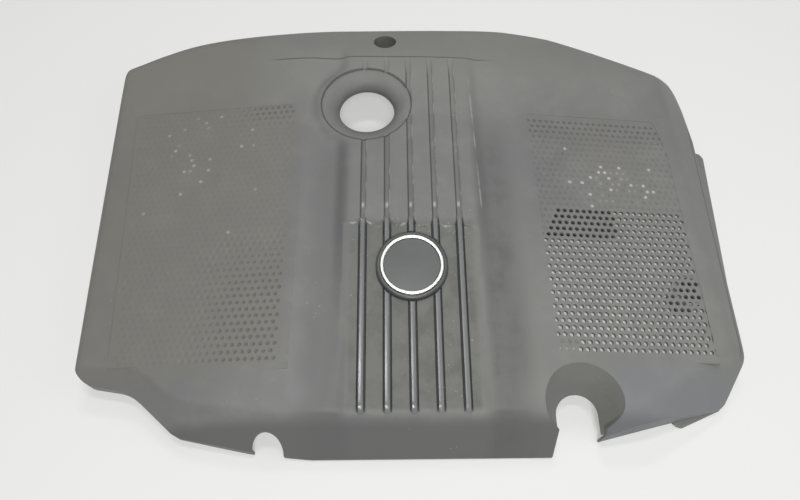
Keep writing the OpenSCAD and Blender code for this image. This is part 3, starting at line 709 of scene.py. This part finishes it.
# slow bumps of dust, from two sine waves
def dustOver(x, y):
    return 0.5 + 0.25 * np.sin(x * 0.045 + 1.3) + 0.25 * np.sin(y * 0.037 + x * 0.02 + 0.4)


# 1 at the middle of a dusty spot, falling off like a bell
def spotAt(x, y, middleX, middleY, wideX, wideY):
    return np.exp(-((x - middleX) / wideX) ** 2 - ((y - middleY) / wideY) ** 2)


# the grille: its holes start a little later in the first four rows and in the last two, dimples lie around it
def rightPlate():
    end, lastHole = 163, 157
    r, place, c = cellCentres(fields["firstX"], fields["firstY"], np.arange(-18, 24), np.arange(-2, 25))
    x, y = c.T
    kept = (x > 5) & (x < end - 0.02 * np.clip(y, 0, 200)) & (y > -171)
    r, place, c = r[kept], place[kept], c[kept]
    x, y = c.T
    last = fields["openRows"]
    start = np.where(r < 4, (3 - r) / 2 + 1, np.where(r >= last - 2, 3.0, 0.0))
    isOpen = (r >= 0) & (r < last) & (place >= start) & (x < lastHole)
    near = (x > 10) & (x < lastHole) & (y < 99) & (y > -164)
    kinds = np.where(isOpen, 2, np.where(near, 1, 0))
    depths = fields["dimpleDepth"] * (0.75 + 0.25 * dustOver(x, y)) * rng.uniform(0.7, 1.1, len(c))
    spot = spotAt(x, y, 95, 18, 40, 26)
    chance = rng.uniform(0, 1, len(c))
    # light dust fills dimples around a spot and along the front row; empty dimples and those towards the rear are
    # darkened by painted shade
    dustAndShadeFill = np.clip(0.5 * spot * chance + 0.8 * (chance > 1 - 0.28 * spot) + 0.25 * (y < -158), 0, 1)
    dustAndShadeFill = dustAndShadeFill - 0.7 * smooth(62, 88, y) - 0.35 * (dustAndShadeFill < 0.15)
    return cellPlate("right_field", c, kinds, depths, dustAndShadeFill, onField("right"))


# the left field: dimples only, with a slanting outer edge
def leftPlate():
    c = cellCentres(-5.0, 114.0, np.arange(-1, 43), np.arange(-29, 1))[2]
    x, y = c.T
    slant = -184 + (116 - y) * 22 / 285
    # the plate stops where the skin falls away in front
    fallen = ((y < -167) & (x < -128)) | ((y < -162) & (x < -163))
    kept = (x > slant - 5) & ~fallen
    c, slant = c[kept], slant[kept]
    x, y = c.T
    near = (x > slant + 3) & (x < -10) & (y < 115) & (y > -166)
    # dimples that dirt left clear, and so deep: towards the front and the middle, and along the rear edge; painted
    # shade darkens them, and a few others hold light dust
    clear = smooth(-20, -110, y) * smooth(-105, -45, x) + smooth(88, 108, y) * smooth(-80, -40, x)
    depths = fields["dimpleDepth"] * (0.16 + 0.84 * np.clip(clear, 0, 1)) * rng.uniform(0.7, 1.1, len(c))
    light = rng.uniform(0, 1, len(c)) < 0.16 * spotAt(x, y, -115, 55, 60, 45)
    dustAndShadeFill = np.where(light, rng.uniform(0.15, 0.6, len(c)), -0.9 * np.clip(clear, 0.12, 1))
    return cellPlate("left_field", c, np.where(near, 1, 0), depths, dustAndShadeFill, onField("left"))


rightField = rightPlate()
leftField = leftPlate()
print("fields:", len(rightField.data.polygons), len(leftField.data.polygons), "faces")


# the funnel: a quarter ellipse from level at its mouth to upright at its hole
def fillerFunnel():
    t = np.linspace(0, np.pi / 2, 20)
    reach, drop = filler["mouth"] - filler["hole"], filler["depth"] - filler["step"]
    wall = cover["wall"]
    rim = filler["mouth"] + 1.2
    start, end = -filler["step"], -filler["depth"] - filler["neck"]
    bowl = np.column_stack([filler["mouth"] - reach * np.sin(t), start - drop * (1 - np.cos(t))])
    inside = np.concatenate([[(rim, start - 0.05)], bowl,
                             [(filler["hole"], end), (filler["hole"] + 0.4, end - 0.4)]])
    outside = np.column_stack([filler["mouth"] - (reach - wall) * np.sin(t[::-1]),
                               start - wall - drop * (1 - np.cos(t[::-1]))])
    foot = [(filler["hole"] + wall, end - 0.4)]
    profile = np.concatenate([inside, foot, outside, [(rim, start - wall)]])
    return turned("filler_funnel", profile, 128, True, moved(filler["x"], filler["y"], filler["z"]))


# a wall that rises from a foot ring along a cone or a cylinder until it is a little under the moulded skin;
# straight: length by which both ends of an open wall go on towards the front
def risingWall(name, spot, toAngle, footRadius, slope, footZ, wall, steps, closed=False, straight=0.0):
    sink = 0.8  # the wall ends this far under the skin
    angle = np.radians(np.linspace(0, toAngle, steps, endpoint=not closed))
    way = np.column_stack([np.cos(angle), np.sin(angle)])
    shift = np.zeros(steps)
    if straight:
        more = 8
        further = np.linspace(straight, straight / more, more)
        way = np.concatenate([np.repeat(way[:1], more, axis=0), way, np.repeat(way[-1:], more, axis=0)])
        shift = np.concatenate([-further, shift, -further[::-1]])
        steps = len(way)
    spot = (spot[0], spot[1] + shift)
    low, high = np.zeros(steps), np.full(steps, 60.0)
    for _ in range(30):  # halving finds the height at which the wall meets the skin
        tryZ = (low + high) / 2
        r = footRadius + slope * tryZ
        under = footZ + tryZ < skinHeight(spot[0] + way[:, 0] * r, spot[1] + way[:, 1] * r) - sink
        low, high = np.where(under, tryZ, low), np.where(under, high, tryZ)
    rise = np.maximum(low, 0.5)
    share = np.linspace(0, 1, 9)
    section = []
    for s in share:
        section.append((footRadius + slope * rise * s, rise * s))
    for s in share[::-1]:
        section.append((footRadius + wall + slope * rise * s, rise * s - (0 if s < 1 else 0.2)))
    grid = np.stack([np.stack([spot[0] + way[:, 0] * r, spot[1] + way[:, 1] * r, footZ + z + 0 * r], axis=-1)
                     for r, z in section], axis=1)
    m = grid.shape[1]
    faces = [gridFaces(steps, m, closed, True)]
    if not closed:
        faces.append(np.stack([np.arange(m), np.arange(m)[::-1] + (steps - 1) * m]))
    return putMesh(name, grid.reshape(-1, 3), *faces)


funnel = fillerFunnel()
gap = 0.03  # walls stand this far behind the cut that they continue
notchWall = risingWall("notch_wall", (notch["x"], notch["y"]), 180, notch["radius"] + gap, flare, notch["z"],
                       notch["wall"], 90, False, 17.0)
wellWall = risingWall("well_wall", (well["x"], well["y"]), 360, well["radius"] + gap, 0.0,
                      well["floor"] - 1.0, well["wall"], 64, True)
wellFloor = turned("well_floor", [(0, -2.6), (14, -2.6), (14.4, -2.2), (14.4, -0.1), (14.2, 0), (0, 0)], 64,
                   False, moved(well["x"], well["y"], well["floor"]))


# the slit in the well's floor lies aslant, in front of its middle
def inWell(p):
    x = well["x"] + 0.5 + p[:, 0] * 0.6 + p[:, 1] * 0.8
    y = well["y"] - 4 - p[:, 0] * 0.8 + p[:, 1] * 0.6
    return np.column_stack([x, y, well["floor"] + p[:, 2]])


long, wide = well["slit"][0] / 2, well["slit"][1] / 2
cut(wellFloor, slab("slit", [(-long, wide, 0.3), (long, wide, 0.3), (long, -wide, 0.3), (-long, -wide, 0.3)],
                    -1.6, 3, 0.1, inWell))

# flange along the right foot, and the tab under the front right corner
flange = slab("foot_flange", [
    (rightX(94) - 1.5, 94, 2), (halfW - 3, 90, 3), (halfW, 84, 4), (rightX(-136) + 10, -136, 8),
    (rightX(-150) + 7, -150, 4), (rightX(-156) - 1.5, -156, 2)], 0, 3, 0.5)
tab = slab("foot_tab", [
    (285, -182, 1), (289.5, -186, 2), (289, -194, 3), (281, -201.5, 4), (253, -213, 20),
    (243, -217, 3), (238, -215, 1.5), (235, -212, 1), (241, -205, 1)], 0, 3, 0.5)

# the badge: dark base with a rounded rim, bright ring and plain disc
low = badge["clearance"] - badge["seat"]
high = low + badge["thick"]
baseR, ringR = badge["radius"], badge["ring"]
innerR = ringR - badge["ringWidth"]
badgeBase = turned("badge_rim", np.concatenate([
    [(0, low), (baseR - 0.4, low), (baseR, low + 0.4)], quarter(baseR - 2.2, high - 2.2, 2.2, 0, 90, 9),
    [(ringR + 1.0, high), (ringR + 0.7, high - 0.8), (ringR + 0.1, high - 0.9), (ringR - 0.4, high - 0.9),
     (0, high - 0.9)]]), 128, False, badgeAt)
badgeRing = turned("badge_bright_ring", np.concatenate([
    [(innerR + 0.2, high - 1.0), (ringR - 0.1, high - 1.0)],
    quarter(ringR - 0.5, high + badge["ringHeight"] - 0.5, 0.5, 0, 80, 6),
    quarter(innerR + 0.5, high + badge["ringHeight"] - 0.7, 0.5, 100, 180, 6)]), 128, True, badgeAt)
dish = np.linspace(innerR - 0.35, 0, 12)
badgeDisc = turned("badge_plain_disc", np.concatenate([
    [(0, high - 0.85), (innerR - 0.2, high - 0.85)], [(innerR - 0.2, high - 0.2)],
    np.column_stack([dish, high + 0.15 + 0.45 * (1 - (dish / innerR) ** 2)])]), 128, False, badgeAt)

# rubber mounts and their holders under the shell
mounts = {
    "spots": [(259, -97, 28), (-256, -97, 28), (232, 120, 30), (-240, 130, 32)],
    "radius": 13.0, "neck": 8.5, "socket": 5.0, "socketDepth": 10.0, "clearance": 0.3,
    "holder": 3.0, "head": 3.0,
}


def rubberMount(number, spot):
    body, gapM, plate = mounts["socketDepth"] + 3, mounts["clearance"], mounts["holder"]
    r, neck, socket = mounts["radius"], mounts["neck"], mounts["socket"]
    top = plate + gapM + mounts["head"]
    profile = np.concatenate([
        [(0, -gapM - 3), (socket - 1.5, -gapM - 3), (socket, -gapM - 4.5), (socket, -gapM - body + 1.2),
         (socket + 1.0, -gapM - body)],
        quarter(r - 1.2, -gapM - body + 1.2, 1.2, -90, 0), quarter(r - 1.2, -gapM - 1.2, 1.2, 0, 90),
        [(neck, -gapM), (neck, plate + gapM)], quarter(r - 3.0, plate + gapM + 1.0, 1.0, -90, 0),
        quarter(r - 3.0, top - 1.0, 1.0, 0, 90), [(0, top)]])
    return turned("rubber_mount_%d" % number, profile, 48, False, moved(*spot))


def mountHolder(number, spot):
    x, y, z = spot
    r, plate, gapM = mounts["radius"], mounts["holder"], mounts["clearance"]
    high = float(skinHeight(np.array([x]), np.array([y]), cover["wall"])[0]) - z + 1.0
    wall = cover["wall"]
    opening = mounts["neck"] + gapM
    profile = [(opening, 0.4), (opening + 0.4, 0), (r + wall - 0.5, 0), (r + wall, 0.5),
               (r + wall, high), (r, high), (r, plate), (opening, plate)]
    holder = turned("mount_holder_%d" % number, profile, 64, True, moved(*spot))
    half = mounts["neck"] - 0.5
    cut(holder, slab("slot", [(-2 * r, half, 0.5), (0, half, 0.5), (0, -half, 0.5), (-2 * r, -half, 0.5)], -1,
                     min(high - 0.2, plate + mounts["head"] + 3), 0.2, moved(*spot)))
    return holder


rubber = [rubberMount(k + 1, s) for k, s in enumerate(mounts["spots"])]
holders = [mountHolder(k + 1, s) for k, s in enumerate(mounts["spots"])]
print("small pieces made")


# one operator of a socket; the reflected form takes its values the other way round
def operator(operation, reflected=False):
    def work(self, other):
        return self.maths(operation, *((other, self) if reflected else (self, other)))
    return work


# one socket of the shader graph, so that sums and products are written as Python expressions
class Wire:
    def __init__(self, graph, socket):
        self.graph, self.socket = graph, socket

    def maths(self, operation, *values):
        return self.graph.add("ShaderNodeMath", {"operation": operation}, dict(enumerate(values)))

    __add__, __radd__ = operator("ADD"), operator("ADD", True)
    __sub__, __rsub__ = operator("SUBTRACT"), operator("SUBTRACT", True)
    __mul__, __rmul__ = operator("MULTIPLY"), operator("MULTIPLY", True)

    def __abs__(self):
        return self.maths("ABSOLUTE", self)

    def __round__(self):
        return self.maths("ROUND", self)

    def root(self):
        return self.maths("SQRT", self)


# a material: its nodes are added one by one, and paint lays colours over self.base
class Finish:
    def __init__(self, name, base=None):
        self.material = bpy.data.materials.new(name)
        self.material.use_nodes = True
        self.tree = self.material.node_tree
        self.tree.nodes.clear()
        self.out = self.tree.nodes.new("ShaderNodeOutputMaterial")
        self.where = self.add("ShaderNodeTexCoord", {}, {}, "Object")
        self.base = base

    # any node: its type, its settings first, then the values or links of its sockets
    def add(self, kind, settings, values, output=0):
        node = self.tree.nodes.new(kind)
        for key, value in settings.items():
            setattr(node, key, value)
        for key, value in values.items():
            if isinstance(value, Wire):
                self.tree.links.new(value.socket, node.inputs[key])
            else:
                node.inputs[key].default_value = value
        return Wire(self, node.outputs[output])

    def scaled(self, x, y, z):
        return self.add("ShaderNodeMapping", {}, {"Vector": self.where, "Scale": (x, y, z)})

    def noise(self, scale, detail=3.0, rough=0.55, where=None):
        values = {"Vector": where or self.where, "Scale": scale, "Detail": detail, "Roughness": rough}
        return self.add("ShaderNodeTexNoise", {}, values, "Fac")

    # noise made into clouds: 0 where it is low and 1 where it is high
    def cloud(self, scale, detail, low, high, rough=0.55, where=None):
        return self.step(self.noise(scale, detail, rough, where), low, high)

    # distance to the nearest of many scattered points
    def cells(self, scale):
        return self.add("ShaderNodeTexVoronoi", {}, {"Vector": self.where, "Scale": scale}, "Distance")

    # 0 up to one value and 1 from the other on; the first may be the greater
    def step(self, value, low, high):
        return self.add("ShaderNodeMapRange", {"interpolation_type": "SMOOTHSTEP"},
                        {"Value": value, "From Min": low, "From Max": high})

    # 1 between two bounds, each given by its value for 0 and its value for 1
    def between(self, value, first, second):
        return self.step(value, *first) * self.step(value, *second)

    # 1 within narrow of a line where value is 0, and 0 from wide on
    def near(self, value, wide, narrow):
        return self.step(abs(value), wide, narrow)

    # a coordinate of the object in millimetres
    def axis(self, index):
        return self.add("ShaderNodeSeparateXYZ", {}, {"Vector": self.where}, index) * (1 / mm)

    def clamp(self, value, low=0.0, high=1.0):
        return self.add("ShaderNodeClamp", {}, {"Value": value, "Min": low, "Max": high})

    def blend(self, factor, a, b):
        return self.add("ShaderNodeMix", {"data_type": "RGBA"}, {0: factor, 6: a, 7: b}, 2)

    def paint(self, share, colour):
        self.base = self.blend(share, self.base, colour)

    def bump(self, height, strength, distance):
        values = {"Height": height, "Strength": strength, "Distance": distance}
        return self.add("ShaderNodeBump", {}, values, "Normal")

    def surface(self, values):
        return self.finished(self.add("ShaderNodeBsdfPrincipled", {}, {"Base Color": self.base, **values}))

    def finished(self, shader):
        self.tree.links.new(shader.socket, self.out.inputs["Surface"])
        return self.material


# sRGB 0-255 to the linear colour that a shader takes
def tone(r, g, b):
    return tuple(((v / 255 + 0.055) / 1.055) ** 2.4 for v in (r, g, b)) + (1.0,)


plasticLook = {
    "clean": tone(116, 117, 116), "dusty": tone(136, 137, 132), "warm": tone(124, 121, 113),
    "light": tone(196, 194, 184), "dark": tone(92, 93, 92), "olive": tone(98, 98, 92),
    # the near-black tone here is painted shade; the two bluish tones are a painted sheen on the worn fins and a
    # painted cool light
    "paintedShade": tone(38, 38, 37), "wornAndSheen": tone(118, 120, 124), "paintedCoolLight": tone(120, 122, 128),
    "rough": 0.5, "grain": 2400.0,
    # colour, share, what fine dust adds, then bounds of x and of y, each from nothing to all of it
    "patches": [
        # painted shade darkens the front face, which is turned away from the light
        ("dark", 0.75, 0.0, [], [(-212, -222)]),  # front face
        # painted shade on the slope beside the right channel, which faces away from the light
        ("dark", 0.55, 0.35, [(54, 70), (112, 78)], [(120, 30)]),  # beside the right channel
        ("dark", 0.4, 0.0, [(-118, -88), (-60, -74)], [(90, 30)]),  # beside the left channel
        ("dusty", 0.55, 0.0, [], [(80, 180)]),  # towards the rear
        ("warm", 0.5, 0.0, [(-130, -200)], [(-185, -165)]),
        # a painted cool light on the front right
        ("paintedCoolLight", 0.45, 0.0, [(130, 180)], [(-155, -190)]),  # front right
    ],
    # lines of painted shade and painted highlight: place, how it moves along the other axis, and its ends
    "creaseY": 179.4, "creaseFall": 0.0167, "crease": [(-165, -145), (95, 70)],
    "railIn": 4.5, "rail": [(-165, -150), (125, 110)],  # this far inside the right foot
    "mouthRing": 0.9,  # this far outside the funnel's mouth
    "ledgeX": 63.0, "ledgeFall": 0.028, "ledge": [(-36, -30), (165, 140)],  # edge of the right channel
    "padEnd": -35.0, "padStep": 1.2,
}


# dust and tints on the shell, painted shade on its front face and beside its right channel, a darker patch beside its
# left channel, a painted cool light at its front right, lines of painted shade along its rear crease, its rail and its
# mouth, and painted highlights in front of the crease and along its channel's edge
def markShell(f, x, y, reach, fine):
    look = plasticLook
    for colour, share, more, boundsX, boundsY in look["patches"]:
        mask = share + more * fine
        for value, bounds in ((x, boundsX), (y, boundsY)):
            for bound in bounds:
                mask = mask * f.step(value, *bound)
        f.paint(mask, look[colour])
    crease = y - (look["creaseY"] - look["creaseFall"] * x)
    along = f.between(x, *look["crease"])
    # a painted highlight on the band just in front of the rear crease
    f.paint(f.between(crease, (-8, -1), (1, -1)) * along * 0.35, look["dusty"])
    # painted shade in lines along the rear crease, the rail inside the right foot and the step round the funnel's
    # mouth
    foot = x - (rightFoot - look["railIn"]) - cover["rightLean"] * y
    rail = f.near(foot, 1.1, 0.5) * f.between(y, *look["rail"])
    ring = f.near(reach - (filler["mouth"] + look["mouthRing"]), 1.1, 0.5)
    f.paint(f.clamp(f.near(crease, 1.2, 0.4) * along + rail + ring) * 0.6, look["paintedShade"])
    # a painted highlight along the edge of the right channel
    ledge = f.near(x - (look["ledgeX"] - look["ledgeFall"] * y), 1.0, 0.4) * f.between(y, *look["ledge"])
    f.paint(ledge * f.cloud(40.0, 4.0, 0.38, 0.6) * 0.4, look["light"])


# the ribbed middle: worn fins with a painted sheen, painted shade in the slots, a dirty panel, painted highlights on
# the pads' rims and grooves marked with painted shade and painted highlights; gives the fins' mask, and how many more
# light specks there are
def markRibs(f, x, y, reach):
    look, pitch = plasticLook, ribs["pitch"]
    u = (x - midX) * (1 / pitch)  # counted in fins
    last = (ribs["count"] - 1) / 2
    signed = (u - f.clamp(round(u), -last, last)) * pitch
    off = abs(signed)
    inside = f.near(u, last + 0.75, last + 0.35)
    front = f.between(y, (-26, -34), (-213, -206)) * inside
    fin = f.step(off, 2.8, 2.4) * f.between(y, (-214, -212), (170, 150)) * inside
    slot = f.between(off, (2.4, 2.7), (4.0, 3.7)) * front
    panel = front * (1 - fin)
    f.paint(panel * (0.5 + 0.4 * f.cloud(55.0, 5.0, 0.40, 0.65, 0.6)), look["olive"])
    # painted shade in the slots beside the fins
    f.paint(slot * 0.8, look["paintedShade"])
    # the worn fins get a bluish painted sheen
    f.paint(fin * front * 0.5, look["wornAndSheen"])
    # painted highlights on the rims where the raised pads end in rounds
    padHalf = pitch / 2 - ribs["grooveHalf"]
    across = f.clamp((pitch / 2 - off) * (1 / padHalf))
    ends = look["padEnd"] - look["padStep"] * (round(u + 0.5) - 0.5)
    ends = ends + (1 - (1 - across * across).root()) * (ribs["padRound"] * padHalf)
    rim = f.near(y - ends, 1.1, 0.5) * f.step(off, 2.7, 3.2) * f.cloud(90.0, 3.0, 0.45, 0.62) * inside
    f.paint(rim * 0.6, look["light"])
    # grooves: painted shade on their left, a painted highlight on their right edge and a painted glint at their front
    # end
    groove = f.between(y, (-27, -24), (170, 150)) * inside
    groove = groove * f.step(reach, filler["mouth"], filler["mouth"] + 3)
    f.paint(f.between(signed, (-2.9, -2.4), (-1.2, -1.8)) * groove * 0.55, look["paintedShade"])
    edge = f.between(signed, (2.2, 2.6), (3.4, 2.9)) * f.cloud(60.0, 4.0, 0.45, 0.62)
    spot = f.near(y + 12, 4.5, 0.0) * f.step(off, 2.0, 0.4)
    f.paint(f.clamp(edge * 0.5 + spot * 0.75) * groove, look["light"])
    # dots of dust where the pads end
    dusty = f.between(y, (-75, -30), (-12, -26)) * inside
    dots = (1 - f.step(f.cells(330.0), 0.10, 0.24)) * dusty * f.cloud(70.0, 2.0, 0.50, 0.60)
    f.paint(dots * 0.6, look["light"])
    return fin, 0.8 * dusty + 0.35 * panel


# moulded plastic: slow dust clouds, fine scratches, light specks and a fine grain;
# kind "ribbed" adds the marks of the shell with their painted shade and painted highlights, kind "field" the dust that
# fills dimples and the painted shade in them
def plasticFinish(kind="plain"):
    look = plasticLook
    f = Finish("dusty moulded plastic, " + kind, look["clean"])
    cloud = f.cloud(5.0, 4.0, 0.38, 0.66)
    fine = f.cloud(42.0, 5.0, 0.42, 0.72, 0.65)
    f.paint(cloud * 0.45 + fine * 0.3, look["dusty"])
    f.paint(f.cloud(9.0, 3.0, 0.55, 0.75, 0.5, f.scaled(1.0, 0.5, 1.0)) * 0.35, look["warm"])
    f.paint(f.cloud(60.0, 3.0, 0.60, 0.80, 0.6, f.scaled(1.0, 0.08, 1.0)) * 0.16, look["dark"])
    rough = look["rough"] + 0.10 * cloud + 0.05 * fine
    patch, polish = f.cloud(16.0, 2.0, 0.56, 0.70), 0
    if kind == "ribbed":
        x, y = f.axis(0), f.axis(1)
        dx, dy = x - filler["x"], y - filler["y"]
        reach = (dx * dx + dy * dy).root()
        markShell(f, x, y, reach, fine)
        polish, more = markRibs(f, x, y, reach)
        rough = rough - 0.3 * polish
        patch = patch + more
    if kind == "field":
        pointDustAndShade = f.add("ShaderNodeAttribute", {"attribute_name": "dustAndShade"}, {}, "Fac")
        f.paint(f.step(f.axis(0), -60, -160) * 0.6, look["warm"])
        f.paint(f.clamp(pointDustAndShade * 0.75), look["light"])
        # painted shade in the dimples whose fill is below 0
        f.paint(f.clamp(pointDustAndShade * -0.36), look["paintedShade"])
    specks = (1 - f.step(f.cells(170.0), 0.05, 0.13)) * patch
    f.paint(f.clamp(specks * 0.5), look["light"])
    grain = f.noise(look["grain"], 2.0) * (1 - 0.9 * polish)
    return f.surface({"Roughness": rough, "Specular IOR Level": 0.4, "Normal": f.bump(grain, 0.25, 0.0002)})


# two colours mixed by a cloud: its scale and bounds, the second colour's share, metal, roughness and what
# the cloud adds to it, the colours, and the grain's scale, strength and height
smallLooks = {
    "dark badge plastic": (60.0, 0.4, 0.7, 0.4, 0.0, 0.32, 0.10, tone(74, 76, 76), tone(92, 94, 93),
                           (1800.0, 0.1, 0.0001)),
    "grey disc plastic": (40.0, 0.4, 0.7, 0.5, 0.0, 0.36, 0.08, tone(82, 85, 84), tone(96, 98, 97),
                          (1800.0, 0.1, 0.0001)),
    "satin bright ring": (120.0, 0.45, 0.75, 0.4, 1.0, 0.34, 0.12, (0.58, 0.58, 0.56, 1),
                          (0.44, 0.44, 0.42, 1), (900.0, 0.05, 0.0001)),
    "black rubber": (80.0, 0.45, 0.75, 0.4, 0.0, 0.72, 0.15, (0.016, 0.016, 0.016, 1),
                     (0.05, 0.048, 0.045, 1), (1500.0, 0.2, 0.0002)),
}


def smallFinish(name):
    scale, low, high, share, metal, rough, more, first, second, grain = smallLooks[name]
    f = Finish(name, first)
    cloud = f.cloud(scale, 4.0, low, high)
    f.paint(cloud * share, second)
    return f.surface({"Metallic": metal, "Roughness": rough + more * cloud,
                      "Normal": f.bump(f.noise(grain[0], 2.0), *grain[1:])})


def foamFinish():
    f = Finish("dark absorber foam", (0.022, 0.022, 0.023, 1))
    pores, fleck = f.cells(700.0), f.cloud(260.0, 5.0, 0.4, 0.7, 0.7)
    f.paint(fleck, (0.062, 0.060, 0.058, 1))
    return f.surface({"Roughness": 0.95, "Normal": f.bump(pores * 0.6 + fleck * 0.6, 0.6, 0.0006)})


def dress(piece, material, slotName, *nodes):
    piece.data.materials.clear()
    piece.data.materials.append(material)
    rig.ride(piece, "root")
    if nodes:
        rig.replaces(piece, *nodes)
    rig.slot(piece, slotName)


plain, black, foam = plasticFinish(), smallFinish("black rubber"), foamFinish()
dress(shell, plasticFinish("ribbed"), "cover_plastic", "main_cover")
fieldPlastic = plasticFinish("field")
for piece in (rightField, leftField):
    dress(piece, fieldPlastic, "cover_plastic", "main_cover")
for piece in [funnel, notchWall, wellWall, wellFloor, flange, tab] + holders:
    dress(piece, plain, "cover_plastic", "main_cover")
dress(badgeBase, smallFinish("dark badge plastic"), "badge_plastic", "badge_base")
dress(badgeDisc, smallFinish("grey disc plastic"), "badge_plastic", "badge_disc")
dress(badgeRing, smallFinish("satin bright ring"), "badge_chrome", "badge_ring")
for number, piece in enumerate(rubber):
    dress(piece, black, "mount_rubber", "mount_%d" % (number + 1))
for name in ("absorber_left", "absorber_right"):
    frame["nodes"][name].data.materials.clear()
    frame["nodes"][name].data.materials.append(foam)
print("finishes done")

# pale table top and soft light
studio = {
    "floorTone": 0.86, "paleness": 0.84, "paleShare": 0.5, "world": 0.20,
    # place, width and depth, power: by the camera, from the right, a strip over the fins, a strip behind
    "lamps": [((0.02, -0.93, 1.36), (0.30, 0.30), 12.0), ((1.2, -0.25, 1.0), (0.8, 0.8), 3.0),
              ((0.0, 0.08, 1.8), (0.56, 0.10), 7.5), ((0.0, 1.05, 1.8), (0.5, 0.2), 6.0)],
    "camera": (-0.020, -0.344, 0.622), "tilt": 27.0, "turn": -0.6, "lens": 29.6,
}


def paleFloor():
    half, down = 4000, -0.05
    corners = np.array([[-half, -half, down], [half, -half, down], [half, half, down], [-half, half, down]])
    piece = putMesh("table_top", corners, np.array([[0, 1, 2, 3]]))
    level = studio["floorTone"]
    f = Finish("pale table", (level * 0.98, level * 0.98, level * 0.965, 1))
    f.paint(f.noise(3.0, 2.0), (level, level, level * 0.99, 1))
    lit = f.add("ShaderNodeBsdfPrincipled", {},
                {"Base Color": f.base, "Roughness": 0.7, "Specular IOR Level": 0.2})
    seen = [f.add("ShaderNodeLightPath", {}, {}, kind) for kind in
            ("Is Camera Ray", "Is Glossy Ray", "Is Transmission Ray")]
    pale = f.add("ShaderNodeEmission", {}, {"Color": (1.0, 1.0, 0.985, 1), "Strength": studio["paleness"]})
    share = f.clamp(seen[0] + seen[1] + seen[2]) * studio["paleShare"]
    piece.data.materials.append(f.finished(f.add("ShaderNodeMixShader", {}, {0: share, 1: lit, 2: pale})))
    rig.stage(piece)


def softLamp(number, spot, size, power):
    lamp = bpy.data.lights.new("soft_lamp_%d" % number, "AREA")
    lamp.shape = "RECTANGLE"
    lamp.size, lamp.size_y = size
    lamp.energy = power
    holder = bpy.data.objects.new(lamp.name, lamp)
    holder.location = spot
    aim = -np.array(spot)  # at the middle of the cover
    holder.rotation_euler = (math.acos(-aim[2] / np.linalg.norm(aim)), 0,
                             math.atan2(aim[1], aim[0]) - math.pi / 2)
    bpy.context.scene.collection.objects.link(holder)


def paleWorld():
    world = bpy.data.worlds.new("pale room")
    world.use_nodes = True
    world.node_tree.nodes["Background"].inputs["Color"].default_value = (1.0, 1.0, 1.0, 1)
    world.node_tree.nodes["Background"].inputs["Strength"].default_value = studio["world"]
    bpy.context.scene.world = world


paleFloor()
paleWorld()
for number, (spot, size, power) in enumerate(studio["lamps"]):
    softLamp(number + 1, spot, size, power)

eye = bpy.data.cameras.new("photo_view")
eye.lens = studio["lens"]
eye.sensor_width = 36.0
eye.clip_start = 0.01
camera = bpy.data.objects.new("photo_view", eye)
camera.location = studio["camera"]
camera.rotation_euler = (math.radians(studio["tilt"]), 0, math.radians(studio["turn"]))
bpy.context.scene.collection.objects.link(camera)
bpy.context.scene.camera = camera
bpy.context.scene.view_settings.view_transform = "Standard"

json.dump({"cad": [list(map(float, v)) for v in cadBox], "visual": [list(map(float, v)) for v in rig.bounds()]},
          open("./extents.json", "w"))
